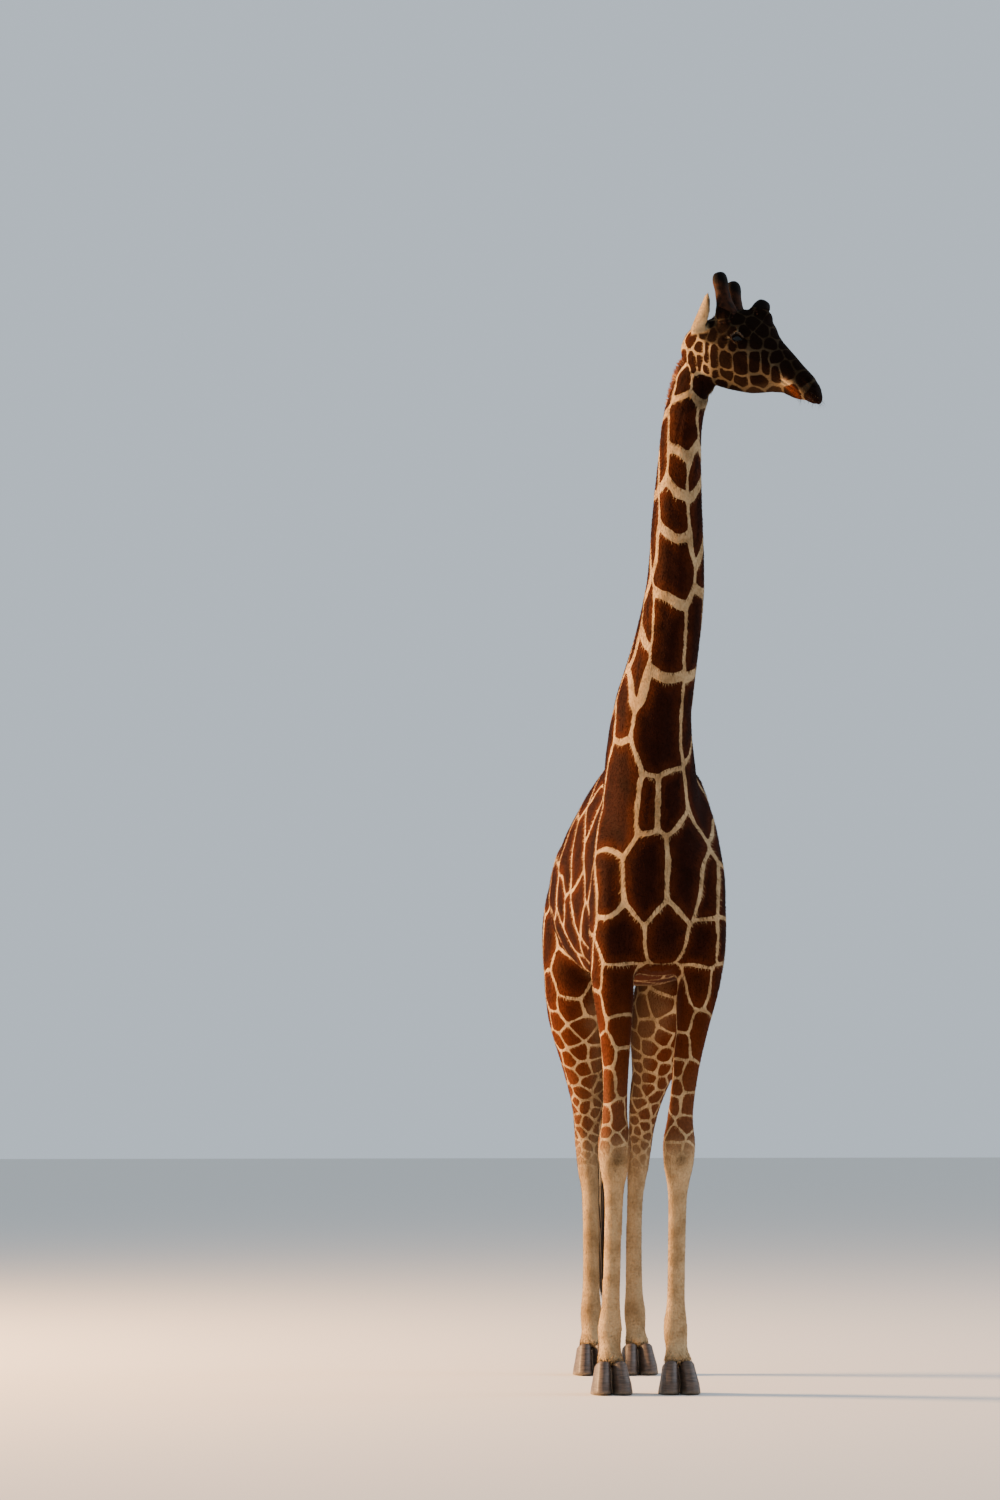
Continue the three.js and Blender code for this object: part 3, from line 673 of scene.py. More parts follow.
def regions(points, normals):
    """How plain, dark, rufous (or black, below 0) and faded the coat is at each place; dark and black are
    partly painted shade.
    """
    up = points[:, 2]
    body = body_places(points)
    head = head_places(points)
    hind = step(-300, -500, body[:, 1])
    bare = fall(1.02 - 0.14 * hind, 1.2 + 0.02 * hind, up)
    out = body[:, 0] - MIDLINE
    inward = -np.sign(out) * normals[:, 0]
    inside_legs = np.maximum(fall(80, 170, np.abs(out)), step(0.1, 0.6, inward))
    under = step(0.35, 0.8, -normals[:, 2])
    belly = under * fall(120, 260, np.abs(body[:, 0])) * fall(-100, 200, body[:, 1])
    plain = np.maximum(bare, 0.4 * belly * step(1.6, 1.7, up) * fall(2.0, 2.2, up))
    on_head = step(4.4, 4.5, up) * step(20, 90, head[:, 1])
    over = head[:, 2] - np.interp(head[:, 1], *np.transpose(FACE_LINE))
    dark = on_head * (0.93 * step(-16, 12, over) + 0.07 * step(20, 60, over))
    horn_feet = [bump_over(head, (way * 88, 122, 92), (30, 34, 30)) for way in (-1, 1)]
    knees = [bump_over(body, (way * KNEE_OUT + KNEE_SWAY, 720, 1062), (36, 120, 42)) for way in (1, -1)]
    dark = np.maximum.reduce(
        [
            dark * (1 - 0.55 * sum(horn_feet)),
            0.85 * step(4.4, 4.5, up) * bump_over(head[:, 1:], (88, -4), (36, 20)),  # the ear's foot, painted shade where the ear meets the head
            0.82 * on_head * step(150, 230, head[:, 1]),  # the face: partly its own darker hair, partly painted shade
            0.7 * np.maximum(*knees),
            # painted shade on the inner faces of the hind legs
            0.38 * hind * inside_legs * step(1.1, 1.4, up) * fall(2.1, 2.3, up),
            0.2 * hind * fall(1.2, 1.5, up) * step(0.15, 0.3, up),
            0.55 * bump_over(body, (-15, 660, 1960), (75, 260, 70)),  # between the forearms, painted shade
        ]
    )
    for way in (1, -1):  # a dark ring round the eye, and a paler fold behind it: a painted highlight where light catches the upper lid
        a, b, reach, forward, _ = round_eye(head, way)
        near = (reach < 60) & (forward > 2)
        d = lid_distance(a, b)
        dark = dark * (1 - 0.55 * near * (b > 0) * step(8, -16, a) * bell(d - 15, 5))
        dark = np.maximum(dark, 0.97 * near * fall(6, 14, d))
    first, last = np.array(LIP_CORNER, float)
    away, share = from_line(head[:, 1:], first, last)
    lip_corner = on_head * bell(away, 21 - 3 * share)
    dark = dark * (1 - np.clip(1.3 * lip_corner, 0, 0.95))
    plain = np.maximum(plain, 0.75 * on_head * bump_over(head[:, 1:], first - (4, 0), (12, 18)))
    # Below 0 on the head, rufous turns the patches near black: partly their own colour, partly painted
    # shade.
    rufous = fall(1.4, 2.1, up) * 0.8 - 0.62 * on_head + 1.7 * lip_corner
    rufous = rufous + bump_over(body, (-15, 660, 1910), (95, 300, 66))
    faded = 0.6 * inside_legs * hind * fall(2.0, 2.2, up)
    faded = np.maximum(faded, 0.25 * fall(1.2, 1.6, up))
    below = np.interp(head[:, 1], *np.transpose(JAW_LINE)) - head[:, 2]
    pale_jaw = on_head * step(330, 400, head[:, 1]) * fall(545, 560, head[:, 1])
    faded = np.maximum(faded, 0.6 * pale_jaw * step(-8, 14, below))
    ear = ear_share(points)
    own = (normals @ head_axes) * (1, -1, 1)
    into_ear = own[:, 1] * 0.53 - np.sign(head[:, 0]) * own[:, 0] * 0.85
    # The ear's hollow is darkened as painted shade.
    hollow = ear * step(0.15, 0.5, into_ear)
    plain = np.maximum(plain, ear)
    dark = np.maximum(dark * (1 - ear), 0.85 * hollow)
    return np.stack((plain, dark, rufous, faded), 1)


def set_vectors(mesh, name, domain, values):
    layer = mesh.attributes.new(name, "FLOAT_VECTOR", domain)
    layer.data.foreach_set("vector", values.astype(np.float32).ravel())


def set_floats(mesh, name, values):
    layer = mesh.attributes.new(name, "FLOAT", "POINT")
    layer.data.foreach_set("value", values.astype(np.float32))


def mark(mesh, roots, normals, times=1):
    """Gives a mesh its region and its fading, the same for each run of points from one root."""
    found = np.repeat(regions(roots, normals), times, axis=0)
    set_vectors(mesh, "region", "POINT", found[:, :3])
    set_floats(mesh, "faded", found[:, 3])


corner_points = read(skin.data.loops, "vertex_index", kind=np.int32)
face_sizes = read(skin.data.polygons, "loop_total", kind=np.int32)
chosen = three_nearest(press_heights(face_centres(skin.data)))
of_corner = np.repeat(np.arange(len(face_sizes)), face_sizes)
set_vectors(skin.data, "borders", "CORNER", border_distances(hide[corner_points], chosen[of_corner]))
set_vectors(skin.data, "widths", "CORNER", line_halves(hide[corner_points], chosen[of_corner]))
mark(skin.data, hide, normals_of(skin.data))


def linear(code):
    """An sRGB hex colour as linear RGBA."""
    parts = [int(code[i : i + 2], 16) / 255 for i in (1, 3, 5)]
    return (*[c / 12.92 if c <= 0.04045 else ((c + 0.055) / 1.055) ** 2.4 for c in parts], 1)


def per_mm(size):
    """A pattern's scale from its size in millimetres."""
    return 1 / (size * MM)


def add(tree, kind, *values, **settings):
    """Adds a node. Values fill its open sockets in order; settings are its own, or sockets by name."""
    made = tree.nodes.new(f"ShaderNode{kind}")
    wanted = {}
    for key, value in settings.items():
        if hasattr(made, key):
            setattr(made, key, value)
        else:
            wanted[made.inputs[key.replace("_", " ")]] = value
    wanted.update(zip([socket for socket in made.inputs if socket.enabled], values))
    for socket, value in wanted.items():
        if isinstance(value, bpy.types.Node):
            value = next(result for result in value.outputs if result.enabled)
        if isinstance(value, bpy.types.NodeSocket):
            tree.links.new(value, socket)
        else:
            socket.default_value = value
    return made


def new_material(name):
    """An empty material and its node tree."""
    made = bpy.data.materials.new(name)
    made.use_nodes = True
    made.node_tree.nodes.clear()
    return made, made.node_tree


CHESTNUT, CHESTNUT_DEEP, RUFOUS = linear("#27110a"), linear("#160a06"), linear("#592a12")
CREAM, CREAM_DUSTY, LEG_CREAM = linear("#b39b76"), linear("#927a58"), linear("#785b42")
# The first is the near black of the face's own dark hair and eye rims, and it is also mixed in as painted
# shade; the second is the hair's grain.
DARK_HAIR_AND_SHADE, GRAIN_DARK = linear("#150b06"), linear("#2a170c")
SMOOTH = {"interpolation_type": "SMOOTHSTEP"}
BLEND = {"data_type": "RGBA"}


def coat_colour(tree, inside, region, faded):
    """The coat's colour from how far inside a patch a place is, in millimetres."""
    plain, dark, rufous = add(tree, "SeparateXYZ", region).outputs
    place = add(tree, "TexCoord").outputs["Object"]
    mottle = add(tree, "TexNoise", place, per_mm(90), 3.0)
    grain = add(tree, "TexNoise", place, per_mm(9), 2.0)
    patch = add(tree, "MapRange", inside, -1.2, 1.2, **SMOOTH)
    middle = add(tree, "MapRange", inside, 4.0, 60.0, **SMOOTH)
    edge = add(tree, "Mix", 0.4, CHESTNUT, RUFOUS, **BLEND)
    brown = add(tree, "Mix", middle, edge, CHESTNUT, **BLEND)
    deeper = add(tree, "MapRange", mottle, 0.4, 0.75, 0.0, 0.6, **SMOOTH)
    brown = add(tree, "Mix", deeper, brown, CHESTNUT_DEEP, **BLEND)
    redder = add(tree, "Math", rufous, 0.0, operation="MAXIMUM", use_clamp=True)
    brown = add(tree, "Mix", redder, brown, RUFOUS, **BLEND)
    # Below 0, rufous darkens the head's patches to near black: partly their own colour, partly painted
    # shade.
    blacker = add(tree, "Math", rufous, -1.0, operation="MULTIPLY", use_clamp=True)
    brown = add(tree, "Mix", blacker, brown, DARK_HAIR_AND_SHADE, **BLEND)
    brown = add(tree, "Mix", faded, brown, LEG_CREAM, **BLEND)
    dusty = add(tree, "MapRange", mottle, 0.35, 0.7, **SMOOTH)
    cream = add(tree, "Mix", dusty, CREAM, CREAM_DUSTY, **BLEND)
    marked = add(tree, "Math", 1.0, plain, operation="SUBTRACT")
    marked = add(tree, "Math", patch, marked, operation="MULTIPLY")
    colour = add(tree, "Mix", marked, cream, brown, **BLEND)
    # The dark channel mixes toward near black: the face's own dark hair and eye rims, and painted shade in
    # the ears, between the forearms, inside the hind legs and partly over the face.
    shade = add(tree, "MapRange", inside, -6.0, 2.0, 0.93, 1.0, **SMOOTH)
    shade = add(tree, "Math", dark, shade, operation="MULTIPLY")
    colour = add(tree, "Mix", shade, colour, DARK_HAIR_AND_SHADE, **BLEND)
    grain = add(tree, "MapRange", grain, 0.3, 0.75, 0.0, 0.22, **SMOOTH)
    return add(tree, "Mix", grain, colour, GRAIN_DARK, blend_type="MULTIPLY", **BLEND)


def ragged_edge(tree, inside, place):
    """The same depth inside a patch, with the wander and the hairiness of a real patch's edge."""
    fine = add(tree, "TexNoise", place, per_mm(14), 3.0, 0.6)
    broad = add(tree, "TexNoise", place, per_mm(60), 1.0)
    hairy = add(tree, "Math", fine, 7.0, -3.5, operation="MULTIPLY_ADD")
    wander = add(tree, "Math", broad, 14.0, -7.0, operation="MULTIPLY_ADD")
    strayed = add(tree, "Math", hairy, wander, operation="ADD")
    return add(tree, "Math", inside, strayed, operation="ADD")


CORNER_ROUNDING = 20.0  # millimetres over which two borders of a patch round into each other


def patch_depth(tree, borders, widths):
    """How far inside a patch a place is, from its distances to three borders, in millimetres."""
    borders = add(tree, "SeparateXYZ", borders).outputs
    widths = add(tree, "SeparateXYZ", widths).outputs
    deepest = -1e4
    for (one, one_side), (two, two_side) in (((0, 1), (1, 1)), ((0, -1), (2, 1)), ((1, -1), (2, -1))):
        pair = []
        for border, side in ((one, one_side), (two, two_side)):
            signed = add(tree, "Math", borders[border], float(side), operation="MULTIPLY")
            pair.append(add(tree, "Math", signed, widths[border], operation="SUBTRACT"))
        inside = add(tree, "Math", *pair, CORNER_ROUNDING, operation="SMOOTH_MIN")
        deepest = add(tree, "Math", inside, deepest, operation="MAXIMUM")
    return deepest


# Hide under short, flat hair: dull, with fine grain from the hairs along it. A single hair's IOR is
# 1.55, but a mat of them takes in most of the light, so the hide and the tufts have a low one.
hide_finish, tree = new_material("short_hair_hide")
place = add(tree, "TexCoord").outputs["Object"]
borders, widths, region = (
    add(tree, "Attribute", attribute_name=name).outputs["Vector"]
    for name in ("borders", "widths", "region")
)
faded = add(tree, "Attribute", attribute_name="faded").outputs["Fac"]
inside = ragged_edge(tree, patch_depth(tree, borders, widths), place)
colour = coat_colour(tree, inside, region, faded)
along_hair = add(tree, "Mapping", place, Scale=(1, 1, 0.25))
hairs = add(tree, "TexNoise", along_hair, per_mm(3), 2.0)
bump = add(tree, "Bump", Strength=0.35, Distance=0.0015, Height=hairs)
surface = add(
    tree, "BsdfPrincipled", colour, Roughness=0.75, IOR=1.15, Specular_IOR_Level=0.15, Normal=bump,
)
add(tree, "OutputMaterial", surface)
skin.data.materials.append(hide_finish)

# ---- Eyes: wet balls, so dark a brown that no pupil shows. Each fills the opening of its lids.
eye_finish, tree = new_material("wet_eye")
surface = add(tree, "BsdfPrincipled", linear("#050302"), Roughness=0.06, IOR=1.33)
add(tree, "OutputMaterial", surface)
for name, way in (("left", 1), ("right", -1)):
    ball = bmesh.new()
    bmesh.ops.create_uvsphere(ball, u_segments=40, v_segments=24, radius=(EYE_RADIUS + 0.5) * MM)
    bmesh.ops.translate(ball, verts=ball.verts, vec=Vector(eye_centres[way]))
    mesh = mesh_of(ball, f"eyeball_{name}")
    mesh.shade_smooth()
    mesh.materials.append(eye_finish)
    eyeball = new_piece(f"eyeball_{name}", mesh)
    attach(eyeball, "root")
    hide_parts(f"eye_{name}")

# ---- Horns: two blunt pillars and a low knob of bone, grown over with skin. The shafts are hairy and
# the tops are worn black and nearly bald. Their feet sink into the hide.
HORN_VOXEL, HORN_ROUNDS = 0.005, 60
HORN_SEAT = 7  # how far a horn narrows at its foot, where the hide closes round it
horn_finish, tree = new_material("horn_skin")
place = add(tree, "TexCoord").outputs["Object"]
worn = add(tree, "Attribute", attribute_name="worn").outputs["Fac"]
blotches = add(tree, "MapRange", add(tree, "TexNoise", place, per_mm(25), 3.0), 0.35, 0.7, **SMOOTH)
shaft = add(tree, "Mix", blotches, linear("#341c10"), linear("#170d08"), **BLEND)
colour = add(tree, "Mix", worn, shaft, linear("#0c0806"), **BLEND)
rough = add(tree, "TexNoise", place, per_mm(4), 3.0)
bump = add(tree, "Bump", Strength=0.5, Distance=0.002, Height=rough)
surface = add(tree, "BsdfPrincipled", colour, Roughness=0.75, IOR=1.2, Specular_IOR_Level=0.3, Normal=bump)
add(tree, "OutputMaterial", surface)
for name in ("horn_left", "horn_right", "horn_nasal"):
    horn = remeshed(name.replace("horn", "ossicone"), joined([name]), HORN_VOXEL)
    points = evened(points_of(horn.data), edge_ends(horn.data), HORN_ROUNDS)
    move_to(horn.data, points)
    up = head_places(points)[:, 2]
    height = (up - up.min()) / np.ptp(up)
    seated = fall(0.15, 0.45, height)
    points = points - normals_of(horn.data) * (seated * HORN_SEAT * MM)[:, None]
    move_to(horn.data, points)
    worn = step(0.0, 0.3, height) if name == "horn_nasal" else step(0.72, 0.86, height)
    set_floats(horn.data, "worn", worn)
    horn.data.materials.append(horn_finish)
    horn.data.shade_smooth()
    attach(horn, "root")
    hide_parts(name)

# ---- Hooves: two blunt toes of horn to each foot, scuffed pale at the rim and ringed by growth. Their
# soles lie flat on the ground, and the leg's hair hangs over their tops.
HOOF_VOXEL, HOOF_ROUNDS = 0.006, 40
hoof_finish, tree = new_material("hoof_horn")
place = add(tree, "TexCoord").outputs["Object"]
rings = add(tree, "Mapping", place, Scale=(0.15, 0.15, 1))
growth = add(tree, "TexNoise", rings, per_mm(7), 3.0)
up = add(tree, "SeparateXYZ", place).outputs["Z"]
banded = add(tree, "MapRange", growth, 0.35, 0.65, **SMOOTH)
horn_brown = add(tree, "Mix", banded, linear("#52443a"), linear("#352a22"), **BLEND)
scuffed = add(tree, "MapRange", up, 0.0, 0.03, 0.6, 0.0, **SMOOTH)
colour = add(tree, "Mix", scuffed, horn_brown, linear("#8c7a64"), **BLEND)
bump = add(tree, "Bump", Strength=0.4, Distance=0.003, Height=growth)
surface = add(tree, "BsdfPrincipled", colour, Roughness=0.55, Normal=bump)
add(tree, "OutputMaterial", surface)
for name in sorted(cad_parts):
    if not name.startswith("hoof"):
        continue
    toe = remeshed(name.replace("hoof", "toe"), joined([name]), HOOF_VOXEL)
    points = points_of(toe.data)
    eased = evened(points, edge_ends(toe.data), HOOF_ROUNDS)
    over_sole = step(0.004, 0.016, points[:, 2])[:, None]
    eased = points + (eased - points) * over_sole
    eased[:, 2] = np.maximum(eased[:, 2], 0)
    move_to(toe.data, eased)
    toe.data.materials.append(hoof_finish)
    toe.data.shade_smooth()
    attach(toe, "root")
    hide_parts(name)

# ---- Coat: short hair that lies flat down the neck, back along the trunk and down the legs, laid as
# thin closed tufts over the hide. Each takes the marking of its own root.
SPACING = {"trunk": 10.5, "neck": 9.5, "leg": 8.5, "head": 5.6, "face": 4.6}  # millimetres
LENGTH = {"trunk": 21, "neck": 19, "leg": 15, "head": 10, "face": 6.5}
FRINGE = 1.1  # how much longer the hair over the hooves is
FUR_WIDTH = 0.17  # of a tuft's length
FUR_THICKNESS = 0.35  # of a tuft's width
ROOT_SINK = 0.0006  # metres under the hide
COAT_FLOOR, UNDER_FLOOR = 0.125, 0.25  # metres up, from which the coat covers the sides and undersides
LEG_TOP, HEAD_FLOOR = 1815, 4200  # millimetres up
STRAY = 0.16  # how far the tufts stray from the lie of the coat
WAVES = (((9.0, 7.0, 5.0), 0.18), ((-23.0, 17.0, 11.0), 0.1))  # the lie's: rates per metre, and height
PATCH = 0.003  # a tuft's own place on the bake's map
COAT_PARTS = "head neck trunk_left trunk_right fore_left fore_right hind_left hind_right".split()


def strands(name, paths, widths, across, thickness):
    """Closed tapered locks. paths is strands x points x 3, widths strands x points, in metres."""
    count, points = paths.shape[:2]
    along = np.gradient(paths, axis=1)
    up = unit(np.cross(along, across[:, None, :]))
    side = across[:, None, :] * widths[..., None] / 2
    rise = up * widths[..., None] * thickness
    rings = np.stack((paths - side, paths + side, paths + rise), 2)[:, :-1]
    body = rings.reshape(count, -1, 3)
    corners = np.concatenate((body, paths[:, -1:]), 1)
    per = corners.shape[1]
    faces = []
    last = 3 * (points - 2)
    for i, j in ((0, 1), (1, 2), (2, 0)) * (points - 2):
        k = len(faces) // 6 * 3
        faces += [(k + i, k + j, k + 3 + j), (k + i, k + 3 + j, k + 3 + i)]
    faces += [(last + i, last + j, per - 1) for i, j in ((0, 1), (1, 2), (2, 0))]
    faces.append((0, 2, 1))
    faces = np.array(faces)
    index = (faces[None] + (np.arange(count) * per)[:, None, None]).reshape(-1, 3)
    mesh = bpy.data.meshes.new(name)
    mesh.vertices.add(count * per)
    mesh.vertices.foreach_set("co", corners.astype(np.float32).ravel())
    mesh.loops.add(index.size)
    mesh.loops.foreach_set("vertex_index", index.astype(np.int32).ravel())
    mesh.polygons.add(len(index))
    mesh.polygons.foreach_set("loop_start", np.arange(0, index.size, 3, dtype=np.int32))
    mesh.polygons.foreach_set("loop_total", np.full(len(index), 3, np.int32))
    mesh.update(calc_edges=True)
    mesh.shade_smooth()
    return mesh, per


def lay_map(mesh, per, flat):
    """Gives each strand its own small patch of the bake's map, at its root's place on the unwrap."""
    turn = np.arange(per) % 3
    reach = np.arange(per) // 3 / max(1, (per - 1) // 3)
    local = np.column_stack(((turn - 1) * PATCH / 2, (reach - 0.5) * PATCH))
    every = np.clip(flat, PATCH, 1 - PATCH)[:, None, :] + local[None]
    every = every.reshape(-1, 2)
    layer = mesh.uv_layers.new(name="OFBake")
    corner = read(mesh.loops, "vertex_index", kind=np.int32)
    layer.data.foreach_set("uv", every[corner].astype(np.float32).ravel())


def surface_of(mesh):
    """A mesh's points, triangles and normals."""
    mesh.calc_loop_triangles()
    return points_of(mesh), read(mesh.loop_triangles, "vertices", 3, np.int32), normals_of(mesh)


def beyond_poll(head):
    """How far into the head a place is, from the plane where the neck ends."""
    return head[:, 1] * 0.664 + head[:, 2] * 0.747


def over_shoulders(body):
    """How far a place is over the slanting plane where the neck begins."""
    return body[:, 2] - 2800 + (body[:, 1] - 640) * 0.62


def parts_of(points):
    """Which part of the coat a place belongs to, and its spacing and length of hair."""
    body = body_places(points)
    head = head_places(points)
    up = body[:, 2]
    is_head = (beyond_poll(head) > -6) & (up > HEAD_FLOOR)
    is_neck = (over_shoulders(body) > 0) & (body[:, 1] > 100)
    kinds = (is_head, is_neck, up < LEG_TOP)
    hind = body[:, 1] <= -100
    right = body[:, 0] <= np.where(up < LEG_TOP, -30, 0)
    part = np.select(kinds, (0, 1, 4 + 2 * hind + right), 2 + right)
    spacing, length = (
        np.select(kinds, [of[kind] for kind in ("head", "neck", "leg")], of["trunk"])
        for of in (SPACING, LENGTH)
    )
    length = length * (1 + FRINGE * fall(150, 215, up))
    face = is_head * step(180, 420, head[:, 1])
    spacing = spacing + (SPACING["face"] - spacing) * face
    length = length + (LENGTH["face"] - length) * face
    return part, spacing, length


def lie_of_coat(points, normals):
    """The way that the hair lies at each place, along the hide."""
    body = body_places(points)
    head = head_places(points)
    up = body[:, 2]
    way = np.tile((0.0, 0.85, -0.5), (len(points), 1))  # on the trunk
    for toward, share in (
        ((0.0, 0.18, -1.0), fall(1700, 2100, up)),  # on the legs
        ((0.0, 0.35, -0.95), step(-200, 250, over_shoulders(body)) * step(0, 300, body[:, 1])),
        (head_axes @ (0.0, 1.0, -0.15), step(-60, 60, beyond_poll(head)) * (up > HEAD_FLOOR)),
        (head_axes @ (0.0, 0.0, 1.0), ear_share(points)),
    ):
        way = way + (np.array(toward) - way) * share[:, None]
    wave = sum(height * np.sin(points @ np.array(rates)) for rates, height in WAVES)
    way = way + np.cross(way, normals) * wave[:, None]
    return unit(way - normals * (way * normals).sum(1)[:, None])


def unwrapped(part, points):
    """Where a place of the hide lies on its part's unwrap: round the part, and along it."""
    across, fore, up = body_places(points).T
    side = 1 if part.endswith("left") else -1
    if part == "head":
        across, fore, up = head_places(points).T
        turn, along = np.arctan2(across, up + 40), fore + up * 0.3
    elif part == "neck":
        ahead = fore - np.interp(up, (2400, 3000, 4000, 4750), (480, 690, 990, 1090))
        turn = np.arctan2(across - np.interp(up, (2800, 4800), (-30, 110)), ahead)
        along = up + ahead * 0.5
    elif part.startswith("trunk"):
        turn, along = np.arctan2(up - 2270, np.abs(across)) * 2, fore
    elif part.startswith("fore"):
        centre = side * 160 - np.interp(up, (100, 1050, 1900), (70, 54, 5))
        ahead = fore - np.interp(up, (100, 1100, 1800), (610, 600, 575))
        turn, along = np.arctan2(across - centre, ahead), up
    else:
        centre = side * np.interp(up, (100, 900, 1800), (108, 112, 225)) + MIDLINE
        ahead = fore - np.interp(up, (100, 600, 1135, 1500, 1800), (-840, -880, -915, -820, -680))
        turn, along = np.arctan2(across - centre, ahead), up
    flat = np.column_stack((turn, along))
    low, high = flat.min(0), flat.max(0)
    return (flat - low) / np.maximum(high - low, 1e-6) * (1 - 4 * PATCH) + 2 * PATCH


def sown(surface, chosen, spacing):
    """Random roots over the chosen triangles, about one to each square of the spacing."""
    places, triangles, normals = surface
    a, b, c = (places[triangles[chosen, k]] for k in range(3))
    area = np.linalg.norm(np.cross(b - a, c - a), axis=1) / 2
    wanted = area / (spacing[chosen] * MM) ** 2
    many = np.floor(wanted + RANDOM.random(len(wanted))).astype(int)
    which = np.repeat(np.arange(len(chosen)), many)
    first, second = RANDOM.random((2, len(which)))
    fold = first + second > 1
    first[fold], second[fold] = 1 - first[fold], 1 - second[fold]
    rest = 1 - first - second
    roots = a[which] * rest[:, None] + b[which] * first[:, None] + c[which] * second[:, None]
    corner = triangles[chosen[which]]
    facing = sum(normals[corner[:, k]] * w[:, None] for k, w in enumerate((rest, first, second)))
    return roots, unit(facing)


# The same finish as the hide, read from each tuft's root.
fur_finish, tree = new_material("short_hair_tufts")
place = add(tree, "TexCoord").outputs["Object"]
depth = add(tree, "Attribute", attribute_name="depth").outputs["Fac"]
region = add(tree, "Attribute", attribute_name="region").outputs["Vector"]
faded = add(tree, "Attribute", attribute_name="faded").outputs["Fac"]
colour = coat_colour(tree, ragged_edge(tree, depth, place), region, faded)
surface = add(tree, "BsdfPrincipled", colour, Roughness=0.66, IOR=1.15, Specular_IOR_Level=0.12)
add(tree, "OutputMaterial", surface)


def smooth_less(first, second):
    """The lesser of two, rounded where they cross, as the hide's own material rounds it."""
    h = np.maximum(CORNER_ROUNDING - np.abs(first - second), 0) / CORNER_ROUNDING
    return np.minimum(first, second) - h * h * h * CORNER_ROUNDING / 6


def depth_at(points):
    """How far inside a patch each place is, in millimetres."""
    chosen = three_nearest(press_heights(points))
    ab, ac, bc = border_distances(points, chosen).T
    w_ab, w_ac, w_bc = line_halves(points, chosen).T
    of_a = smooth_less(ab - w_ab, ac - w_ac)
    of_b = smooth_less(-ab - w_ab, bc - w_bc)
    of_c = smooth_less(-ac - w_ac, -bc - w_bc)
    return np.maximum(np.maximum(of_a, of_b), of_c)


def dressed(name, mesh, per, roots, normals, flat, finish):
    """Gives a mesh of tufts its markings, its map and its place on the animal."""
    mark(mesh, roots, normals, per)
    set_floats(mesh, "depth", np.repeat(depth_at(roots), per))
    lay_map(mesh, per, flat)
    mesh.materials.append(finish)
    piece = new_piece(name, mesh)
    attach(piece, "root")
    return piece


def clear_of_eyes(points):
    """True away from the openings of the lids."""
    head = head_places(points)
    open_to = np.ones(len(points), bool)
    for way in (1, -1):
        a, b, reach, forward, _ = round_eye(head, way)
        open_to &= ~((reach < 45) & (forward > 0) & (lid_distance(a, b) < 2.5))
    return open_to


hide_surface = surface_of(skin.data)
_, triangles, hide_normals = hide_surface
middles = hide[triangles].mean(1)
part_of, spacing_of, _ = parts_of(middles)
facing_down = hide_normals[triangles].mean(1)[:, 2] < -0.5
covered = (middles[:, 2] > COAT_FLOOR) & ~(facing_down & (middles[:, 2] < UNDER_FLOOR))
for number, part in enumerate(COAT_PARTS):
    chosen = np.flatnonzero((part_of == number) & covered)
    roots, normals = sown(hide_surface, chosen, spacing_of)
    keep = clear_of_eyes(roots)
    roots, normals = roots[keep], normals[keep]
    _, _, length = parts_of(roots)
    way = lie_of_coat(roots, normals)
    across = unit(np.cross(way, normals))
    way = unit(way + across * RANDOM.normal(0, STRAY, len(roots))[:, None])
    across = unit(np.cross(way, normals))
    length = (length * RANDOM.uniform(0.75, 1.2, len(roots)) * MM)[:, None]
    lift = RANDOM.uniform(0.10, 0.2, len(roots))[:, None]
    foot = roots - normals * ROOT_SINK
    tip = roots + way * length + normals * length * lift
    widths = np.repeat(length * FUR_WIDTH, 2, axis=1)
    mesh, per = strands(f"coat_{part}", np.stack((foot, tip), 1), widths, across, FUR_THICKNESS)
    dressed(f"coat_{part}", mesh, per, roots, normals, unwrapped(part, roots), fur_finish)

# ---- Mane: stiff upright hair along the back of the neck, rufous, paler where the net crosses it. Its
# locks are rooted in the hide along the crest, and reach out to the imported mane's surface.
MANE_LOCKS = 4200
MANE_BAND = 13  # half the width that the roots cover, in millimetres
MANE_LEAST, MANE_MOST, MANE_ELSE = 0.02, 0.09, 0.03  # metres that the locks stand out
MANE_WIDTHS = (0.0065, 0.0055, 0)
CREST_AWAY = 0.2  # metres from the hide, where the search for the crest starts
mane_finish, tree = new_material("mane_hair")
place = add(tree, "TexCoord").outputs["Object"]
depth = add(tree, "Attribute", attribute_name="depth").outputs["Fac"]
toward_tip = add(tree, "Attribute", attribute_name="tip").outputs["Fac"]
shade = add(tree, "MapRange", add(tree, "TexNoise", place, per_mm(30), 3.0), 0.35, 0.7, **SMOOTH)
hair = add(tree, "Mix", shade, linear("#4c2513"), linear("#2c160c"), **BLEND)
paler = add(tree, "Mix", 0.45, hair, linear("#a88660"), **BLEND)
in_patch = add(tree, "MapRange", depth, -3.0, 6.0, **SMOOTH)
hair = add(tree, "Mix", in_patch, paler, hair, **BLEND)
tipped = add(tree, "MapRange", toward_tip, 0.3, 1.0, 0.0, 0.4, **SMOOTH)
colour = add(tree, "Mix", tipped, hair, linear("#643a20"), **BLEND)
surface = add(tree, "BsdfPrincipled", colour, Roughness=0.6, IOR=1.2, Specular_IOR_Level=0.3)
add(tree, "OutputMaterial", surface)


def nearest_on(tree, points):
    """The nearest places on a surface, and its normals there."""
    found = [tree.find_nearest(Vector(p))[:2] for p in points]
    return np.array([f[0] for f in found]), np.array([f[1] for f in found])


def set_tips(mesh, per):
    """Marks how far along its lock each corner is."""
    share = np.minimum(np.arange(per) // 3 / ((per - 1) // 3), 1)
    set_floats(mesh, "tip", np.tile(share, len(mesh.vertices) // per))


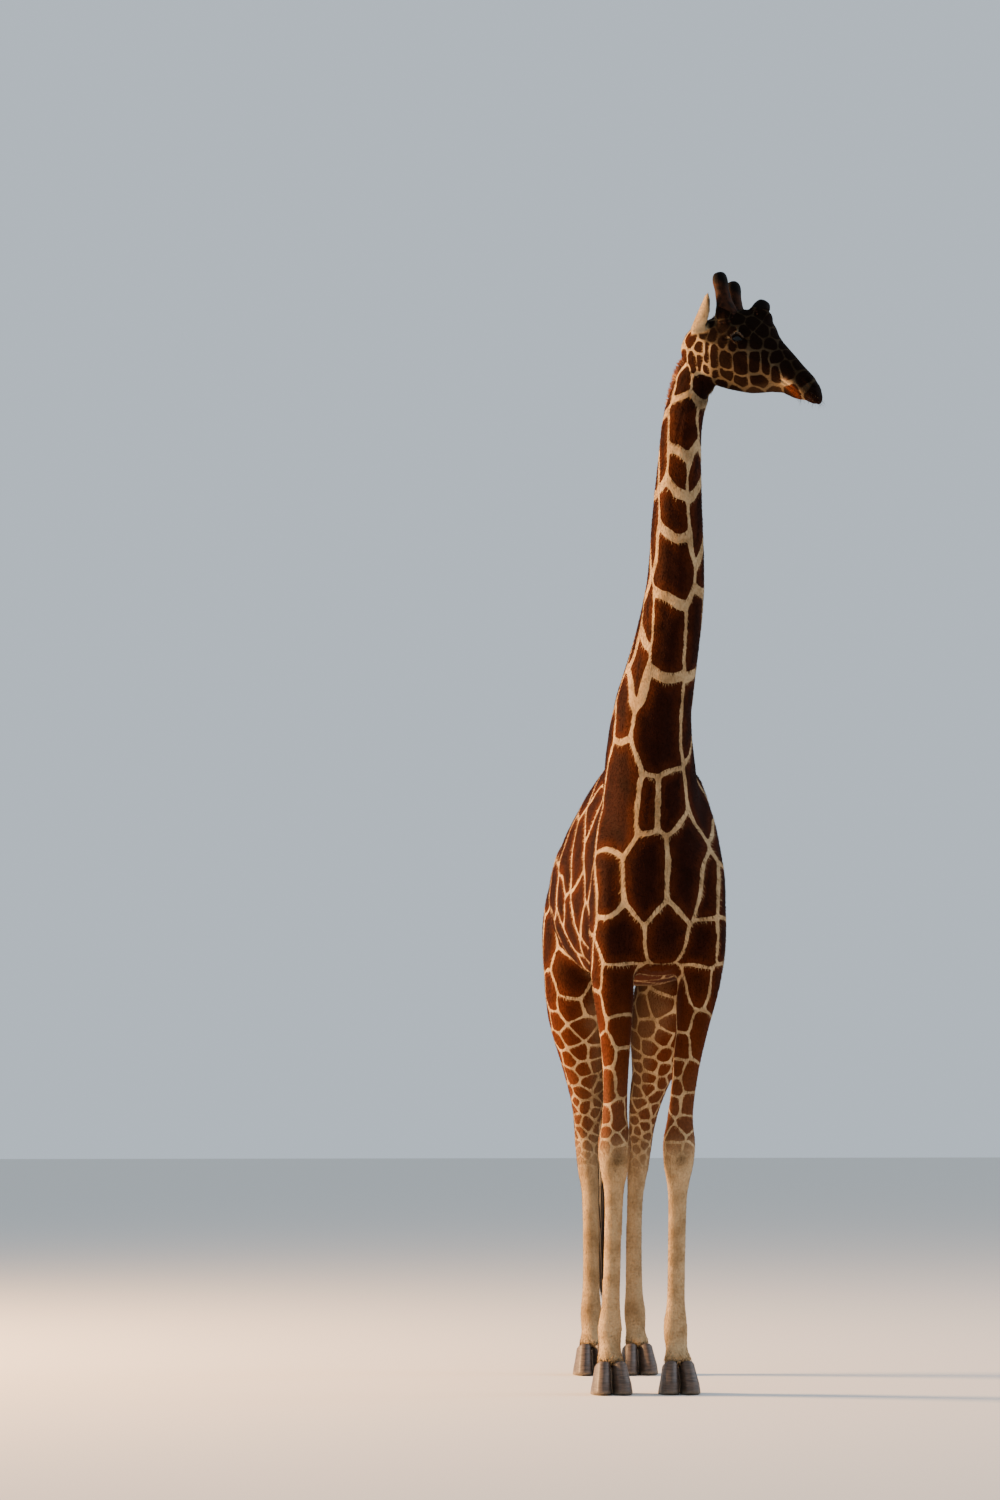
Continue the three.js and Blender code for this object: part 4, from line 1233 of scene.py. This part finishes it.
crest = joined(["mane"])
crest_points, crest_faces, _ = surface_of(crest)
crest_tree = BVHTree.FromPolygons(crest_points.tolist(), crest_faces.tolist())
foot, crown = crest_points[:, 2].min() + 0.02, crest_points[:, 2].max() - 0.015
bends = [np.polyfit(crest_points[:, 2], crest_points[:, k], 5) for k in (0, 1)]
heights = np.linspace(foot, crown, MANE_LOCKS) + RANDOM.normal(0, 0.002, MANE_LOCKS)
middle = np.column_stack((*[np.polyval(bend, heights) for bend in bends], heights))
slopes = [np.polyval(np.polyder(bend), heights) for bend in bends]
ridge = unit(np.column_stack((*slopes, np.ones(MANE_LOCKS))))
roots, _ = nearest_on(skin_tree, middle)
out = unit(middle - roots)
sideways = unit(np.cross(ridge, out))
aside = RANDOM.uniform(-1, 1, MANE_LOCKS)
roots, facing = nearest_on(skin_tree, roots + sideways * (aside * MANE_BAND * MM)[:, None])
reaches = []
for root, way in zip(roots, out):
    hit = crest_tree.ray_cast(Vector(root + way * CREST_AWAY), Vector(-way))[3]
    reaches.append(CREST_AWAY - hit if hit is not None else MANE_ELSE)
reach = np.clip(reaches, MANE_LEAST, MANE_MOST) * RANDOM.uniform(0.82, 0.98, MANE_LOCKS)
upward = RANDOM.normal(0.12, 0.10, MANE_LOCKS)[:, None]
lean = unit(out + ridge * upward + sideways * (aside * 0.10)[:, None])
start = roots - out * 0.004
middle_lock = start + (lean * 0.55 + ridge * 0.02) * reach[:, None]
tip = roots + lean * reach[:, None]
widths = np.tile(MANE_WIDTHS, (MANE_LOCKS, 1))
mesh, per = strands("mane_hair", np.stack((start, middle_lock, tip), 1), widths, ridge, 0.7)
set_tips(mesh, per)
flat = np.column_stack((0.5 + aside * 0.48, (heights - foot) / (crown - foot)))
mane = dressed("mane_hair", mesh, per, roots, facing, flat, mane_finish)
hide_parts("mane")

# ---- Tail tuft: long coarse black hair in loose locks, from round the end of the dock.
TAIL_LOCKS, POINTS_ON_LOCK = 950, 9
TAIL_TOPS = (1395, 1555)  # millimetres up, between which the locks start
TAIL_END, TAIL_FALLS = 345, 620  # where the longest end, and how much higher the shortest do
TAIL_TURN = 2 * math.pi
TAIL_LINE = (  # up, across, fore and the tuft's half width
    (1560, -43, -1076, 20), (1440, -50, -1073, 33), (1200, -59, -1068, 45), (920, -66, -1060, 49),
    (640, -70, -1052, 38), (420, -72, -1048, 18), (340, -73, -1046, 4),
)
tail_finish, tree = new_material("tail_hair")
place = add(tree, "TexCoord").outputs["Object"]
streaks = add(tree, "MapRange", add(tree, "TexNoise", place, per_mm(22), 2.0), 0.4, 0.75, **SMOOTH)
colour = add(tree, "Mix", streaks, linear("#0f0b08"), linear("#2a1b12"), **BLEND)
surface = add(tree, "BsdfPrincipled", colour, Roughness=0.42)
add(tree, "OutputMaterial", surface)
line = np.array(TAIL_LINE, float)[::-1]
tops = RANDOM.uniform(*TAIL_TOPS, TAIL_LOCKS)
falls = TAIL_END + TAIL_FALLS * RANDOM.random(TAIL_LOCKS) ** 1.7
turns = RANDOM.uniform(0, TAIL_TURN, TAIL_LOCKS)
outs = np.sqrt(RANDOM.uniform(0.05, 0.92, TAIL_LOCKS))
share = np.linspace(0, 1, POINTS_ON_LOCK)
ups = tops[:, None] + (falls - tops)[:, None] * share
across, fore, half = (np.interp(ups, line[:, 0], line[:, k]) for k in (1, 2, 3))
half *= outs[:, None]
half[:, 0] = 12
half[:, -1] *= 0.7
twist = turns[:, None] + 0.5 * np.sin(share * 5 + turns[:, None] * 3) * share
paths = np.stack((across + half * np.cos(twist), -(fore + half * np.sin(twist)), ups), 2)
paths = paths * MM + own_zero
widths = np.interp(share, (0, 0.15, 0.7, 1), (3.5, 6.5, 5, 0)) * MM
widths = widths[None] * RANDOM.uniform(0.7, 1.25, TAIL_LOCKS)[:, None]
across = np.column_stack((-np.sin(turns), -np.cos(turns), np.zeros(TAIL_LOCKS)))
mesh, per = strands("tail_hair", paths, widths, across, 0.5)
lay_map(mesh, per, np.column_stack((turns / TAIL_TURN, (tops - TAIL_TOPS[0]) / np.ptp(TAIL_TOPS))))
mesh.materials.append(tail_finish)
tail_hair = new_piece("tail_hair", mesh)
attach(tail_hair, "root")
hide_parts("tail_tuft")

# ---- Lashes and whiskers: long stiff lashes shade the eyes, and a few hairs stand round the lips. They
# are dark like the tail's, and rooted in the rims of the lids and in the lips.
LASHES = (  # how many, their length and lift, and the height of their lid and its rim, in millimetres
    (70, 24, 0.25, LID_UPPER, 0.6),
    (36, 11, -0.5, -LID_LOWER, -0.6),
)
LASH_BENDS = ((0.85, 0, 0.5), (0.6, 0.3, 0.35), (0.35, 0.6, 0.25))  # outward, more lift, and length
LASH_SPAN = 0.9  # of the opening's half length
WHISKERS = 150
hair_paths, hair_widths, hair_across = [], [], []
for way in (1, -1):
    out, along, up = eye_axes(way)
    centre = np.array((way * EYE[0], *EYE[1:]), float)
    for count, length, lift, lid, rim in LASHES:
        for a in np.linspace(-LASH_SPAN, LASH_SPAN, count) * LID_HALF_LENGTH:
            arch = 1 - (a / LID_HALF_LENGTH) ** 2
            b = lid * arch + rim
            ray = out + along * math.tan(a / EYE_RADIUS) + up * math.tan(b / EYE_RADIUS)
            ray /= np.linalg.norm(ray)
            reach = length * RANDOM.uniform(0.8, 1.1) * (0.55 + 0.45 * arch)
            path = [centre + ray * (EYE_RADIUS + 2.5)]
            fan = along * (a / LID_HALF_LENGTH * 0.5 + RANDOM.normal(0, 0.08))
            for forth, more, part in LASH_BENDS:
                path.append(path[-1] + (out * forth + up * (lift + more) + fan) * reach * part)
            hair_paths.append(path)
            hair_widths.append((1.3, 1.2, 0.8, 0))
            hair_across.append(along)
for _ in range(WHISKERS):
    way = RANDOM.choice((1, -1))
    fore = RANDOM.uniform(590, 725)
    up = np.interp(fore, *np.transpose(MOUTH_LINE)) + RANDOM.uniform(-26, 34)
    beside, inward = on_head(way * 200, fore, up), head_axes @ (-way, 0.0, 0.0)
    hit, facing, *_ = skin_tree.ray_cast(Vector(beside), Vector(inward))
    if hit is None:
        continue
    first = head_places(np.array([hit]))[0]
    normal = (np.array(facing) @ head_axes) * (1, -1, 1)
    lean = normal * 0.9 + np.array((0, 0.35, -0.25)) + RANDOM.normal(0, 0.15, 3)
    reach = RANDOM.uniform(12, 30)
    path = [first, first + lean * reach * 0.4, first + lean * reach * 0.75]
    hair_paths.append([*path, first + (lean - (0, 0, 0.3)) * reach])
    hair_widths.append((0.9, 0.8, 0.5, 0))
    hair_across.append(np.array((0.0, 1.0, 0.0)))
paths = np.array(hair_paths)
world_paths = to_world(paths.reshape(-1, 3)).reshape(paths.shape)
across = unit((np.array(hair_across) * (1, -1, 1)) @ head_axes.T)
mesh, per = strands("lashes_and_whiskers", world_paths, np.array(hair_widths) * MM, across, 0.8)
lay_map(mesh, per, RANDOM.uniform(0.02, 0.98, (len(paths), 2)))
mesh.materials.append(tail_finish)
lashes = new_piece("lashes_and_whiskers", mesh)
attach(lashes, "root")

# ---- Floor and light: a plain pale floor, a broad warm lamp low at the animal's right and a little
# behind it, a cool one high at its left, a small one for the glint in the eye, and pale light all round.
floor_finish, tree = new_material("pale_floor")
surface = add(tree, "BsdfPrincipled", linear("#dad8d4"), Roughness=0.9, Specular_IOR_Level=0.2)
add(tree, "OutputMaterial", surface)
ground = bmesh.new()
bmesh.ops.create_grid(ground, x_segments=1, y_segments=1, size=60)
mesh = mesh_of(ground, "floor")
mesh.materials.append(floor_finish)
new_piece("floor", mesh)

world = bpy.data.worlds.new("studio")
bpy.context.scene.world = world
world.use_nodes = True
sky = world.node_tree.nodes["Background"].inputs
sky["Color"].default_value, sky["Strength"].default_value = linear("#d0dde9"), 0.92


def lamp(name, place, target, size, power, colour):
    light = bpy.data.lights.new(name, "AREA")
    light.shape = "DISK"
    light.size = size
    light.energy = power
    light.color = linear(colour)[:3]
    holder = bpy.data.objects.new(name, light)
    bpy.context.scene.collection.objects.link(holder)
    holder.location = place
    holder.rotation_euler = (Vector(target) - Vector(place)).to_track_quat("-Z", "Y").to_euler()


lamp("key", (-11.5, 3.8, 4.8), (0, 0, 2.8), 2.6, 9500, "#ffc588")
lamp("far side", (13, 1, 9), (0, 0, 2.6), 8, 1100, "#e8eefb")
lamp("glint", (-5, -13, 8), (0, 0, 4), 0.35, 30, "#ffffff")
